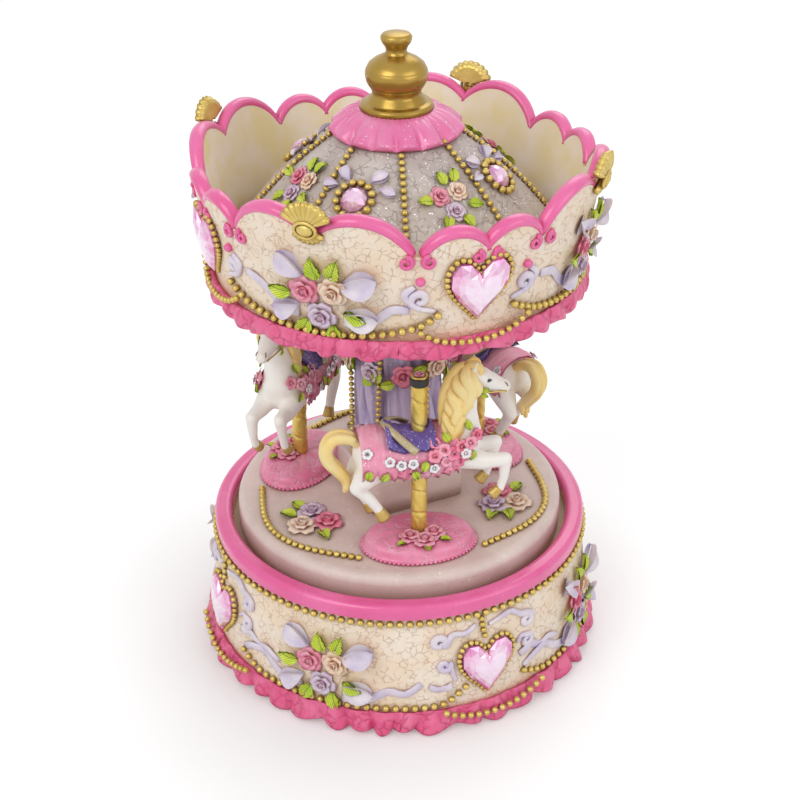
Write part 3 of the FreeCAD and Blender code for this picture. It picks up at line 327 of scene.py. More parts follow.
glitter, dial, result = effect(
    "glitter", [("Scale", 2400.0), ("Amount", 0.1)],
    [("Flakes", "NodeSocketFloat"), ("Normal", "NodeSocketVector")])
place = node(glitter, "ShaderNodeTexCoord").outputs["Object"]
specks = node(glitter, "ShaderNodeTexVoronoi")
feed(glitter, place, specks.inputs["Vector"])
feed(glitter, dial["Scale"], specks.inputs["Scale"])
chance = node(glitter, "ShaderNodeSeparateColor")
feed(glitter, specks.outputs["Color"], chance.inputs[0])
lucky = sum_of(glitter, "LESS_THAN", chance.outputs[0], dial["Amount"])
round_speck = sum_of(glitter, "LESS_THAN", specks.outputs["Distance"], 0.42)
flake = sum_of(glitter, "MULTIPLY", lucky, round_speck)
feed(glitter, flake, result["Flakes"])
tilt = node(glitter, "ShaderNodeVectorMath", operation="SUBTRACT")
feed(glitter, specks.outputs["Color"], tilt.inputs[0])
tilt.inputs[1].default_value = (0.5, 0.5, 0.5)
tilted = node(glitter, "ShaderNodeVectorMath", operation="SCALE")
feed(glitter, tilt.outputs[0], tilted.inputs[0])
feed(glitter, flake, tilted.inputs["Scale"])
facing = node(glitter, "ShaderNodeVectorMath", operation="ADD")
feed(glitter, node(glitter, "ShaderNodeNewGeometry").outputs["Normal"], facing.inputs[0])
feed(glitter, tilted.outputs[0], facing.inputs[1])
level = node(glitter, "ShaderNodeVectorMath", operation="NORMALIZE")
feed(glitter, facing.outputs[0], level.inputs[0])
feed(glitter, level.outputs[0], result["Normal"])

# Painted shade: ambient occlusion finds the hollows, and the paint turns towards its shade colour there.
hollow_shade, dial, result = effect("hollow_shade", [("Reach", 0.0015)], [("Painted shade", "NodeSocketFloat")])
near = node(hollow_shade, "ShaderNodeAmbientOcclusion", samples=6)
feed(hollow_shade, dial["Reach"], near.inputs["Distance"])
feed(hollow_shade, spread(hollow_shade, near.outputs["AO"], 0.25, 0.9, 1.0, 0.0), result["Painted shade"])
print("effects:", [group.name for group in bpy.data.node_groups])


# %% [markdown]
# ## One recipe for painted resin
# Every paint is the same few layers: a base colour that clouds into a lighter one, perhaps crackle
# or glitter over it, and a darker painted shade in the hollows. One recipe with dials makes them
# all, so the paints look like one family, as they do when one hand has painted the whole object.

# %% The paint recipe
def paint(name, base, light, shade, rough=0.45, coat=0.0, metal=0.0, reach=0.0015, shade_share=0.85,
          scale=110.0, grain=0.1, cracks=None, flakes=None, tint=None, inside=None):
    """Painted resin. cracks = (scale, width, colour, share); flakes = (scale, amount, colour)."""
    material = bpy.data.materials.new(name)
    material.use_nodes = True
    tree = material.node_tree
    shader = tree.nodes["Principled BSDF"]
    clouds = node(tree, "ShaderNodeGroup", node_tree=mottle)
    clouds.inputs["Scale"].default_value = scale
    if tint:
        own = node(tree, "ShaderNodeAttribute", attribute_name=tint).outputs["Color"]
        pale = mixed(tree, 0.3, own, light)
        skin = mixed(tree, clouds.outputs["Cloud"], own, pale)
    else:
        skin = mixed(tree, clouds.outputs["Cloud"], base, light)
    height = sum_of(tree, "MULTIPLY", clouds.outputs["Grain"], grain)
    roughness = spread(tree, clouds.outputs["Cloud"], 0.0, 1.0, max(rough - 0.06, 0.02), rough + 0.06)
    normal = None
    metallic = metal
    if cracks:
        crack_scale, width, crack_colour, share = cracks
        craze = node(tree, "ShaderNodeGroup", node_tree=crackle)
        craze.inputs["Scale"].default_value = crack_scale
        craze.inputs["Warp"].default_value = 0.75 / crack_scale
        craze.inputs["Width"].default_value = width
        lines = craze.outputs["Lines"]
        if inside:
            spot = node(tree, "ShaderNodeTexCoord").outputs["Object"]
            flat = node(tree, "ShaderNodeVectorMath", operation="MULTIPLY")
            feed(tree, spot, flat.inputs[0])
            flat.inputs[1].default_value = (1.0, 1.0, 0.0)
            facing_out = node(tree, "ShaderNodeVectorMath", operation="DOT_PRODUCT")
            feed(tree, flat.outputs[0], facing_out.inputs[0])
            feed(tree, node(tree, "ShaderNodeNewGeometry").outputs["Normal"], facing_out.inputs[1])
            front = spread(tree, facing_out.outputs["Value"], 0.0, 0.01)
            lines = sum_of(tree, "MULTIPLY", lines, front)
            skin = mixed(tree, front, mixed(tree, clouds.outputs["Cloud"], inside, light), skin)
        skin = mixed(tree, sum_of(tree, "MULTIPLY", lines, share), skin, crack_colour)
        height = sum_of(tree, "SUBTRACT", height, lines)
    if flakes:
        flake_scale, amount, flake_and_glint_colour = flakes
        dust = node(tree, "ShaderNodeGroup", node_tree=glitter)
        dust.inputs["Scale"].default_value = flake_scale
        dust.inputs["Amount"].default_value = amount
        # The flakes take a near-white colour: the glitter's own colour, which also stands in for its sparkle
        # as a painted glint.
        skin = mixed(tree, dust.outputs["Flakes"], skin, flake_and_glint_colour)
        roughness = sum_of(tree, "MULTIPLY", roughness,
                           spread(tree, dust.outputs["Flakes"], 0.0, 1.0, 1.0, 0.45))
        metallic = sum_of(tree, "MULTIPLY", dust.outputs["Flakes"], 0.25)
        normal = dust.outputs["Normal"]
    # Painted shade in the hollows: the skin is mixed towards the shade colour where ambient occlusion is low.
    shade_in_hollows = node(tree, "ShaderNodeGroup", node_tree=hollow_shade)
    shade_in_hollows.inputs["Reach"].default_value = reach
    skin = mixed(tree, sum_of(tree, "MULTIPLY", shade_in_hollows.outputs["Painted shade"], shade_share), skin, shade)
    feed(tree, skin, shader.inputs["Base Color"])
    feed(tree, roughness, shader.inputs["Roughness"])
    feed(tree, metallic, shader.inputs["Metallic"])
    shader.inputs["Coat Weight"].default_value = coat
    shader.inputs["Coat Roughness"].default_value = 0.12
    relief = node(tree, "ShaderNodeBump")
    relief.inputs["Strength"].default_value = 0.6
    relief.inputs["Distance"].default_value = 0.0003
    feed(tree, height, relief.inputs["Height"])
    if normal is not None:
        feed(tree, normal, relief.inputs["Normal"])
    feed(tree, relief.outputs[0], shader.inputs["Normal"])
    return material


# %% Paints of this carousel
WHITE = colour(255, 255, 255)
cream_crackle = paint("cream_crackle", colour(252, 229, 202), colour(255, 242, 226), colour(214, 168, 118),
                      rough=0.5, reach=0.0035, shade_share=0.6,
                      cracks=(520.0, 0.06, colour(228, 182, 144), 0.65),
                      inside=colour(248, 232, 180))
pink_gloss = paint("pink_gloss", colour(240, 92, 158), colour(247, 116, 176), colour(210, 60, 122),
                   rough=0.27, coat=0.35, reach=0.002, shade_share=0.6, grain=0.04, scale=60.0)
pink_frill = paint("pink_frill", colour(234, 88, 140), colour(244, 122, 164), colour(190, 36, 92),
                   rough=0.42, coat=0.1, reach=0.0024, shade_share=0.8, scale=220.0,
                   cracks=(300.0, 0.12, colour(200, 50, 100), 0.7))
gold_bead = paint("gold_bead", colour(204, 174, 86), colour(222, 198, 118), colour(116, 82, 34),
                  rough=0.36, metal=0.6, reach=0.0014, shade_share=0.85, scale=300.0)
gold_satin = paint("gold_satin", colour(164, 132, 60), colour(182, 152, 78), colour(88, 60, 22),
                   rough=0.3, metal=0.85, reach=0.003, shade_share=0.85, scale=90.0)
pole_gold = paint("pole_gold", colour(214, 182, 84), colour(230, 204, 112), colour(136, 96, 34),
                  rough=0.3, metal=0.55, reach=0.0012, shade_share=0.75, scale=160.0, grain=0.5)
roof_lilac = paint("roof_lilac", colour(194, 180, 174), colour(212, 202, 194), colour(136, 112, 100),
                   rough=0.5, reach=0.004, shade_share=0.7, cracks=(420.0, 0.06, colour(154, 136, 132), 0.5),
                   flakes=(2300.0, 0.16, colour(244, 240, 246)))
table_lilac = paint("table_lilac", colour(220, 197, 190), colour(232, 213, 204), colour(164, 130, 114),
                    rough=0.42, reach=0.006, shade_share=0.7, flakes=(2500.0, 0.05, colour(250, 246, 250)))
drape_lilac = paint("drape_lilac", colour(186, 170, 208), colour(206, 194, 222), colour(112, 92, 140),
                    rough=0.45, reach=0.003, shade_share=0.8, flakes=(2500.0, 0.05, colour(240, 236, 250)))
plinth_pink = paint("plinth_pink", colour(238, 122, 164), colour(246, 160, 190), colour(208, 72, 128),
                    rough=0.36, coat=0.2, reach=0.0016, cracks=(420.0, 0.09, colour(250, 190, 210), 0.7))
petal_paint = paint("petal_paint", WHITE, WHITE, colour(206, 96, 116), rough=0.45, reach=0.0006,
                    shade_share=0.35, tint="tint")
leaf_paint = paint("leaf_paint", colour(186, 214, 26), colour(224, 236, 74), colour(96, 128, 14),
                   rough=0.4, coat=0.15, reach=0.0008, shade_share=0.6, scale=260.0)
ribbon_paint = paint("ribbon_paint", colour(220, 208, 230), colour(244, 236, 240), colour(168, 148, 200),
                     rough=0.42, reach=0.0011, shade_share=0.7, scale=200.0)
horse_ivory = paint("horse_ivory", colour(250, 245, 236), colour(253, 250, 245), colour(196, 170, 140),
                    rough=0.34, coat=0.2, reach=0.0016, shade_share=0.65, grain=0.03)
mane_gold = paint("mane_gold", colour(252, 214, 118), colour(255, 234, 168), colour(228, 170, 74),
                  rough=0.4, reach=0.0009, shade_share=0.65)
saddle_purple = paint("saddle_purple", colour(92, 70, 148), colour(116, 96, 172), colour(42, 28, 78),
                      rough=0.35, reach=0.0012, flakes=(3200.0, 0.12, colour(226, 220, 246)))
cloth_pink = paint("cloth_pink", colour(244, 142, 176), colour(252, 188, 208), colour(214, 90, 134),
                   rough=0.42, reach=0.0012, flakes=(3000.0, 0.1, colour(255, 236, 244)))
hoof_paint = paint("hoof_paint", colour(186, 150, 76), colour(206, 176, 100), colour(104, 74, 34),
                   rough=0.35, metal=0.4, reach=0.001)
eye_black = paint("eye_black", colour(24, 20, 20), colour(40, 34, 32), colour(8, 6, 6), rough=0.15, coat=0.6)
nose_brown = paint("nose_brown", colour(150, 122, 104), colour(172, 146, 128), colour(100, 78, 62),
                   rough=0.45)
steel_bright = paint("steel_bright", colour(196, 198, 202), colour(212, 214, 218), colour(110, 112, 116),
                     rough=0.3, metal=1.0, scale=400.0)
brass_bright = paint("brass_bright", colour(206, 176, 98), colour(220, 194, 122), colour(128, 98, 44),
                     rough=0.3, metal=1.0, scale=400.0)
cast_grey = paint("cast_grey", colour(150, 152, 154), colour(166, 168, 170), colour(84, 86, 88),
                  rough=0.5, metal=0.8, scale=300.0, grain=0.4)
plastic_black = paint("plastic_black", colour(34, 33, 34), colour(46, 45, 46), colour(14, 13, 14),
                      rough=0.5, scale=300.0, grain=0.3)
plastic_white = paint("plastic_white", colour(228, 226, 218), colour(238, 236, 230), colour(150, 146, 136),
                      rough=0.45, scale=300.0)
print(len(bpy.data.materials), "materials with the frame's own")

# %% [markdown]
# ## Solids that keep their shape
# The drum wall and its rim, the turntable, ceiling, crown wall, bottom plate and the whole movement
# came out right as solids. They stay and only get their paint. A solid's mesh is never edited; only
# the material in its slots changes.

# %% Paint the kept solids
kept_solids = {
    "base_shell": cream_crackle, "canopy_crown": cream_crackle, "canopy_ceiling": table_lilac,
    "base_rim": pink_gloss, "turntable": table_lilac, "bottom_plate": plastic_black,
    "plate_screws": steel_bright, "movement_screws": steel_bright, "comb_screws": steel_bright,
    "movement_bedplate": cast_grey, "comb": steel_bright, "governor_bracket": brass_bright,
    "shaft_bush": brass_bright, "winding_arbor": steel_bright, "winding_key": steel_bright,
    "pinned_cylinder": brass_bright, "cylinder_pinion": brass_bright, "cylinder_wheel": brass_bright,
    "governor_wheel": brass_bright, "governor_worm": steel_bright, "governor_fan": plastic_white,
    "spring_barrel": brass_bright, "barrel_cap": brass_bright, "mainspring": steel_bright,
    "drive_shaft": steel_bright,
}
for node_name, material in kept_solids.items():
    for material_slot in nodes[node_name].material_slots:
        material_slot.material = material
print(len(kept_solids), "solids painted")

# %% [markdown]
# ## Gathered frills
# A pink frill hems the base and another hangs under the crown. On the real piece they are cast to
# look like gathered cloth: fat round folds, tight creases and an uneven lower edge. One closed strip
# is wrapped round the wall; its outer side carries the folds and its inner side stays plain.

# %% The two frills
def folds(turn, waves, slant, seed):
    """Fat crests and tight creases, from -1 to 1, with folds of uneven width."""
    wander = 0.9 * np.sin(5 * turn + seed) + 0.7 * np.sin(11 * turn + 2 * seed) + 0.5 * np.sin(17 * turn)
    return 2.0 * np.abs(np.sin((waves * turn + wander) / 2.0 + slant)) ** 0.75 - 1.0


def frill(name, top, bottom, inner, waves, depths, drop, seed, steps):
    """top and bottom are (radius, height); depths are the fold depths there; drop is the edge's play."""
    def place(u, v):
        turn = TURN * u
        fall = np.clip(v / 0.62, 0, 1)
        back = np.clip((v - 0.68) / 0.32, 0, 1)
        slant = 0.5 * np.sin(3 * turn + seed) * fall + 0.8 * (fall - 0.5) * np.sin(9 * turn + seed)
        depth = depths[0] + (depths[1] - depths[0]) * fall
        strength = 0.8 + 0.3 * np.sin(13 * turn + seed) * np.sin(7 * turn)
        wave = folds(turn, waves, slant, seed) * strength
        wrinkle = 0.16 * np.sin(waves * 2.6 * turn + 6 * fall + seed) * np.sin(math.pi * fall)
        belly = 0.5 * np.sin(math.pi * fall)
        outer = top[0] + (bottom[0] - top[0]) * fall ** 1.3 + depth * wave + wrinkle + belly
        radius = np.where(v < 0.65, outer, inner)
        edge = bottom[1] + drop * (0.5 + 0.5 * np.sin(waves / 2.0 * turn + 2 * np.sin(5 * turn + seed)))
        height = np.where(v < 0.65, top[1] + (edge - top[1]) * fall, edge + (top[1] - edge) * back)
        return polar(np.degrees(turn), np.maximum(radius, inner), height)

    return wrapped(name, steps, 20, lambda u, v: place(u, np.where(v > 0.999, 0.0, v)))


base_frill = frill("base_frill", (52.4, 6.6), (53.8, 0.4), 51.4, 44, (0.5, 1.5), 1.4, 0.7, 704)
dressed(base_frill, pink_frill, "base", "pink_resin", "base_ruffle")
canopy_frill = frill("canopy_frill", (46.6, 109.6), (46.9, 104.4), 45.25, 44, (0.45, 0.9), 1.0, 1.9, 704)
dressed(canopy_frill, pink_frill, "carousel", "pink_resin", "canopy_ruffle")

# %% [markdown]
# ## The crown's pink lip
# The crown's edge is a row of rounded petals, two large and two small in each quarter. A thick pink
# lip runs over every petal like piped icing and ends in small curls beside the notches. Each lip is
# a rounded band swept along the petal's arc, and each curl a tapering tube wound into a spiral.

# %% Crown measures and a swept band
CROWN_FOOT, CROWN_BEND, CROWN_LIP, CROWN_TOP, CROWN_NOTCH = 45.2, 111.0, 50.8, 142.2, 130.6
QUARTERS = (0.0, 90.0, 180.0, 270.0)
crown_lean = math.degrees(math.atan2(CROWN_LIP - CROWN_FOOT, CROWN_TOP - CROWN_BEND))


def crown_radius(height):
    """Outside radius of the crown wall at a height."""
    slope = (CROWN_LIP - CROWN_FOOT) / (CROWN_TOP - CROWN_BEND)
    return CROWN_FOOT + np.maximum(np.asarray(height, float) - CROWN_BEND, 0) * slope


def smooth_path(points, count_points):
    """A smooth line through a few points (a cardinal spline), sampled evenly in its parameter."""
    points = np.array(points, float)
    ends = np.vstack((2 * points[0] - points[1], points, 2 * points[-1] - points[-2]))
    along = np.linspace(0, len(points) - 1.0001, count_points)
    start = along.astype(int)
    t = (along - start)[:, None]
    a, b, c, d = (ends[start + shift] for shift in range(4))
    return 0.5 * (2 * b + (c - a) * t + (2 * a - 5 * b + 4 * c - d) * t ** 2
                  + (3 * b - a - 3 * c + d) * t ** 3)


def swept(name, path, outs, wide, thick, sides=10, square=1.0):
    """A band along a path. outs point away from the wall; wide and thick are half sizes per point."""
    path, outs = np.array(path, float), np.array(outs, float)
    ahead = np.gradient(path, axis=0)
    ahead /= np.linalg.norm(ahead, axis=1)[:, None]
    across = np.cross(ahead, outs)
    across /= np.linalg.norm(across, axis=1)[:, None]
    outward = np.cross(across, ahead)
    wide = np.broadcast_to(np.asarray(wide, float), (len(path),))
    thick = np.broadcast_to(np.asarray(thick, float), (len(path),))
    last = len(path) - 1

    def place(u, v):
        step = np.clip(np.rint(u * (last + 2)).astype(int) - 1, 0, last)
        tip = ((u < 0.5 / (last + 2)) | (u > 1 - 0.5 / (last + 2)))
        angle = TURN * v
        reach = np.where(tip, 0.0, 1.0)
        sideways = np.sign(np.cos(angle)) * np.abs(np.cos(angle)) ** square * wide[step] * reach
        upwards = np.sign(np.sin(angle)) * np.abs(np.sin(angle)) ** square * thick[step] * reach
        spots = path[step] + across[step] * sideways[:, None] + outward[step] * upwards[:, None]
        return spots[:, 0], spots[:, 1], spots[:, 2]

    return wrapped(name, last + 2, sides, place)


def joined(name, pieces):
    """Join finished pieces into one."""
    put_down_all()
    for piece in pieces:
        piece.select_set(True)
    bpy.context.view_layer.objects.active = pieces[0]
    bpy.ops.object.join()
    return named(name)


def wall_point(azimuth, height, stand=0.0):
    """A point in front of the crown wall."""
    return np.array(polar(np.float64(azimuth), crown_radius(height) + stand, height))


def crown_seat(azimuth, height):
    """A seat on the crown wall."""
    return wall_seat(azimuth, float(crown_radius(height)), height, crown_lean)


def wall_out(azimuth):
    """The direction straight out of a round wall."""
    return np.array(polar(np.float64(azimuth), 1.0, 0.0))


# %% Lips and curls
big_petals = ((-34.0, 13.8, 8.6), (-10.6, 13.8, 8.6))
small_petals = ((15.6, 8.6, 5.2), (32.4, 8.6, 5.2))
LIP_WIDE, LIP_THICK, LIP_INSET = 1.9, 1.4, 1.5


def petal_arc(azimuth, half_angle, rise, spread_from, spread_to, count_points=34):
    """Points along a petal's edge, between two azimuths counted from its middle."""
    half = CROWN_LIP * math.sin(math.radians(half_angle))
    bow = (half * half + rise * rise) / (2 * rise)
    middle = CROWN_NOTCH + rise - bow
    first = math.asin(max(-1, CROWN_LIP * math.sin(math.radians(spread_from)) / bow))
    last = math.asin(min(1, CROWN_LIP * math.sin(math.radians(spread_to)) / bow))
    angles = np.linspace(first, last, count_points)
    heights = middle + bow * np.cos(angles)
    radii = crown_radius(heights) - LIP_INSET
    azimuths = azimuth + np.degrees(np.arcsin(np.clip(bow * np.sin(angles) / crown_radius(heights), -1, 1)))
    return np.stack(polar(azimuths, radii, heights), axis=1), azimuths


lips = []
petal_spans = ((big_petals[0], -13.6, 11.75), (big_petals[1], -11.65, 13.6),
               (small_petals[0], -8.5, 8.45), (small_petals[1], -8.45, 8.5))
for quarter in QUARTERS:
    for (azimuth, half_angle, rise), start, end in petal_spans:
        path, azimuths = petal_arc(azimuth + quarter, half_angle, rise, start, end)
        outs = path - wall_point(azimuth + quarter, CROWN_NOTCH, -LIP_INSET)
        swell = 0.82 + 0.18 * np.sin(np.linspace(0, math.pi, len(path)))
        lips.append(swept("lip", path, outs, LIP_WIDE * swell, LIP_THICK * swell, 14))
crown_lip = joined("crown_lip", lips)


def curl(azimuth, height, radius, turns, way, thick, aim=90.0, steps=30):
    """A spiral on the crown wall that winds inwards from its outer end."""
    angles = np.radians(aim) + way * np.linspace(0, turns * TURN, steps)
    reach = radius * (1 - 0.72 * np.linspace(0, 1, steps))
    points, outs = [], []
    for angle, distance in zip(angles, reach):
        up = height + distance * math.sin(angle)
        side = azimuth + math.degrees(distance * math.cos(angle) / crown_radius(up))
        points.append(wall_point(side, up, 0.35))
        outs.append(wall_out(side))
    taper = np.linspace(1.0, 0.55, steps)
    return swept("curl", points, outs, thick * taper, thick * 0.85 * taper, 8)


curls = []
notches = ((5.1, 130.9, 1.6), (41.6, 130.9, 1.6), (24.0, 130.7, 1.4))
for quarter in QUARTERS:
    for azimuth, height, radius in notches:
        for way in (-1, 1):
            side = azimuth + quarter + way * 3.0
            curls.append(curl(side, height - radius + 0.2, radius, 1.35, way, 0.66))
crown_curls = joined("crown_curls", curls)
dressed(crown_lip, pink_gloss, "carousel", "pink_resin")
dressed(crown_curls, pink_gloss, "carousel", "pink_resin")

# %% [markdown]
# ## Roof, collar and finial
# The roof is a shallow tent whose panels puff up a little between eight beaded ribs. A pleated pink
# collar sits on its peak, and a turned gold finial stands on the collar. The finial is a lathe shape,
# so its outline is spun; the tent and the collar are wrapped, because their edges wave.

# %% The tent roof
ROOF_EDGE, ROOF_EAVE, ROOF_NECK, ROOF_PEAK, ROOF_BULGE = 41.8, 114.0, 8.9, 145.7, 2.6
ROOF_WALL = 3.0
RIB_COUNT, RIB_AZIMUTH = 8, 3.5


def roof_point(share, lift=0.0):
    """Radius and height on the roof, share 0 at the eave and 1 at the peak, raised by a lift."""
    radius = ROOF_EDGE + (ROOF_NECK - ROOF_EDGE) * share
    height = ROOF_EAVE + (ROOF_PEAK - ROOF_EAVE) * share
    bow = 4 * ROOF_BULGE * share * (1 - share)
    run, rise = ROOF_EDGE - ROOF_NECK, ROOF_PEAK - ROOF_EAVE
    long = math.hypot(run, rise)
    radius = radius + (bow + lift) * rise / long
    height = height + (bow + lift) * run / long
    return radius, height


def place_roof(u, v):
    azimuth = 360.0 * u
    share = np.clip(v / 0.7, 0, 1)
    under = np.clip((v - 0.75) / 0.25, 0, 1)
    puff = np.abs(np.sin(np.radians((azimuth - RIB_AZIMUTH) * RIB_COUNT / 2)))
    top_radius, top_height = roof_point(share, 0.45 * puff * np.sin(math.pi * share) - 0.2)
    low_radius, low_height = roof_point(1 - under, -ROOF_WALL)
    outer = v < 0.725
    radius = np.where(outer, top_radius, np.minimum(low_radius, ROOF_EDGE - ROOF_WALL * under))
    height = np.where(outer, top_height, np.maximum(low_height, ROOF_EAVE))
    return polar(azimuth, radius, height)


roof_tent = wrapped("roof_tent", 192, 20, place_roof)
dressed(roof_tent, roof_lilac, "carousel", "lilac_resin", "roof")

# %% The pleated collar
COLLAR_PLEATS = 15
COLLAR_NECK, COLLAR_EDGE, COLLAR_HIGH, COLLAR_DROP = 8.3, 15.7, 147.6, 5.0
UNDER_NECK, UNDER_EDGE, UNDER_HIGH, UNDER_LOW = 8.6, 15.4, 145.8, 142.0


def place_collar(u, v):
    azimuth = 360.0 * u
    fall = np.clip(v / 0.6, 0, 1)
    back = np.clip((v - 0.65) / 0.35, 0, 1)
    sway = 26 * np.sin(np.radians(2 * azimuth)) + 14 * np.sin(np.radians(5 * azimuth + 40))
    pleat = 2 * np.abs(np.sin(np.radians((azimuth * COLLAR_PLEATS + sway) / 2))) ** 0.9 - 1
    crease = 0.16 * np.sin(np.radians(azimuth * 45 + 3 * sway)) * np.sin(math.pi * fall ** 0.6)
    top_radius = COLLAR_NECK + (COLLAR_EDGE - COLLAR_NECK) * fall ** 0.8
    top_height = COLLAR_HIGH - COLLAR_DROP * fall ** 1.5 + 0.8 * pleat * fall + crease
    low_radius = UNDER_EDGE + (UNDER_NECK - UNDER_EDGE) * back
    low_height = UNDER_LOW + (UNDER_HIGH - UNDER_LOW) * back
    outer = v < 0.625
    radius = np.where(outer, top_radius + 0.7 * pleat * fall ** 1.5, low_radius)
    height = np.where(outer, top_height, low_height)
    return polar(azimuth, radius, height)


collar = wrapped("pleated_collar", 288, 20, place_collar)
collar_pink = paint("collar_pink", colour(240, 112, 172), colour(247, 146, 192), colour(206, 64, 124),
                    rough=0.25, coat=0.4, reach=0.002, shade_share=0.6,
                    flakes=(2600.0, 0.025, colour(255, 232, 244)))
dressed(collar, collar_pink, "carousel", "pink_resin", "roof_collar")

# %% The gold finial
finial_outline = [
    (0, 147.3), (8.7, 147.3), (8.85, 147.7), (8.75, 148.5), (8.3, 149.0), (7.2, 149.2),
    (6.9, 149.5), (6.6, 150.2), (6.0, 150.7), (5.8, 151.2), (5.9, 152.0), (6.3, 152.6),
    (6.15, 152.75), (6.5, 152.9), (7.1, 154.0), (7.45, 155.4), (7.45, 156.2), (7.25, 157.0),
    (7.1, 157.08), (7.12, 157.2), (6.6, 158.2), (5.2, 159.3), (3.8, 160.0), (2.8, 160.5),
    (2.5, 161.0), (2.5, 161.6), (2.75, 162.3), (3.35, 163.1), (3.7, 163.9), (3.7, 164.6),
    (3.2, 165.2), (2.0, 165.45), (0, 165.5)]
finial = turned("gold_finial", finial_outline, 64)
pick(finial)
bpy.ops.object.modifier_add(type="BEVEL")
finial.modifiers[-1].width = 0.05 * MM
finial.modifiers[-1].segments = 2
bpy.ops.object.modifier_apply(modifier=finial.modifiers[-1].name)
dressed(finial, gold_satin, "carousel", "gold_trim", "finial")

# %% [markdown]
# ## The draped column
# In the middle a swathe of lilac cloth seems to hang round the drive post, gathered at the waist and
# flaring under the ceiling. It is wrapped as one closed sleeve; the folds swing to and fro so that
# they don't look like a fluted pillar. The sleeve stands on a square foot with soft corners.

# %% The column
COLUMN_FOLDS, COLUMN_FOOT_TOP, COLUMN_TOP = 10, 52.0, 105.0
FLARE_FROM, COLUMN_REACH = 88.0, 14.6
FOOT_HALF, FOOT_TURN, FOOT_SQUARE = 13.0, 25.6, 14
foot_rings = ((0.0, 42.0), (1.0, 42.0), (1.0, 50.6), (0.995, 51.3), (0.985, 51.7), (0.96, 51.95),
              (0.9, COLUMN_FOOT_TOP), (0.0, COLUMN_FOOT_TOP))


def along_rings(rings, v):
    """Share of the outline and height at v, from 0 to 1, along a row of (share, height) rings."""
    at = v * (len(rings) - 1)
    return (np.interp(at, np.arange(len(rings)), column) for column in zip(*rings))


def place_column(u, v):
    azimuth = 360.0 * u
    height = COLUMN_FOOT_TOP + (COLUMN_TOP - COLUMN_FOOT_TOP) * v
    foot = 12.2 - 1.2 * np.clip(v * 4, 0, 1) ** 0.6
    flare = 3.2 * np.clip((height - FLARE_FROM) / (COLUMN_TOP - FLARE_FROM), 0, 1) ** 1.6
    depth = 0.8 + 0.7 * np.abs(2 * v - 1)
    twist = 16.0 * np.sin(2.2 * v + 0.4) + 9.0 * np.sin(np.radians(3 * azimuth) + 9.0 * v)
    wave = 2 * np.abs(np.sin(np.radians((azimuth + twist) * COLUMN_FOLDS / 2))) ** 0.8 - 1
    small = 0.3 * np.sin(np.radians(azimuth * 31 + 500 * v))
    radius = np.minimum(foot + flare + depth * wave + small - 0.6, COLUMN_REACH)
    return polar(azimuth, radius, height)


def place_foot(u, v):
    share, height = along_rings(foot_rings, v)
    turn = TURN * u
    square = np.abs(np.cos(turn)) ** FOOT_SQUARE + np.abs(np.sin(turn)) ** FOOT_SQUARE
    return polar(np.degrees(turn) + FOOT_TURN, FOOT_HALF * share / square ** (1 / FOOT_SQUARE), height)


column_drape = wrapped("column_drape", 288, 48, place_column)
pick(column_drape)
bpy.ops.object.mode_set(mode="EDIT")
bpy.ops.mesh.select_all(action="DESELECT")
bpy.ops.mesh.select_non_manifold()
bpy.ops.mesh.edge_face_add()
bpy.ops.object.mode_set(mode="OBJECT")
mended(column_drape)
column_foot = wrapped("column_foot", 160, 14, place_foot)
dressed(column_drape, drape_lilac, "carousel", "lilac_resin", "column")
dressed(column_foot, table_lilac, "carousel", "lilac_resin")

# %% [markdown]
# ## Bead strings
# Gold bead strings edge the base, the crown, the turntable and the roof. Hundreds of beads are
# needed, so one bead is modelled from a small ball, flattened a little, and copied along each line.

# %% One bead and the lines it follows
BASE_TOP, BASE_FOOT_RADIUS, BASE_FLARE, BASE_BELLY = 33.9, 51.5, 2.3, 0.9
BASE_LEAN = -3.0


def base_radius(height):
    """Outside radius of the base wall at a height."""
    share = np.asarray(height, float) / BASE_TOP
    return BASE_FOOT_RADIUS - BASE_FLARE * share + 4 * BASE_BELLY * share * (1 - share)


def base_seat(azimuth, height):
    """A seat on the base wall."""
    return wall_seat(azimuth, float(base_radius(height)), height, BASE_LEAN)


def on_wall(points, azimuth, radius_at, stand, count_points):
    """A smooth line drawn on a round wall through (sideways, height) points, both in millimetres."""
    line = smooth_path(points, count_points)
    radii = radius_at(line[:, 1])
    azimuths = azimuth + np.degrees(line[:, 0] / radii)
    path = np.stack(polar(azimuths, radii + stand, line[:, 1]), axis=1)
    return path, np.stack(polar(azimuths, 1.0 + 0 * azimuths, 0 * azimuths), axis=1)


def evenly(path, step, closed=False):
    """Points along a path at an even step, stretched a little to end on its ends."""
    path = np.vstack((path, path[:1])) if closed else np.asarray(path)
    lengths = np.concatenate(([0], np.cumsum(np.linalg.norm(np.diff(path, axis=0), axis=1))))
    number = max(2, int(round(lengths[-1] / step)) + (0 if closed else 1))
    wanted = np.linspace(0, lengths[-1], number, endpoint=not closed)
    return np.stack([np.interp(wanted, lengths, path[:, axis]) for axis in range(3)], axis=1)


def bead_seats(points, radius):
    """Seats for beads of a radius at points."""
    return [flat_seat(point, radius) for point in points]


put_down_all()
bpy.ops.mesh.primitive_uv_sphere_add(segments=8, ring_count=6, radius=MM)
bead = named("bead_model")
bpy.ops.object.mode_set(mode="EDIT")
bpy.ops.transform.resize(value=(1, 1, 0.9))
bpy.ops.object.mode_set(mode="OBJECT")
bpy.ops.object.shade_smooth()
print("one bead has", len(bead.data.polygons), "faces")

# %% Hearts as outlines
HEART_WIDE, HEART_LONG = 14.2, 15.4


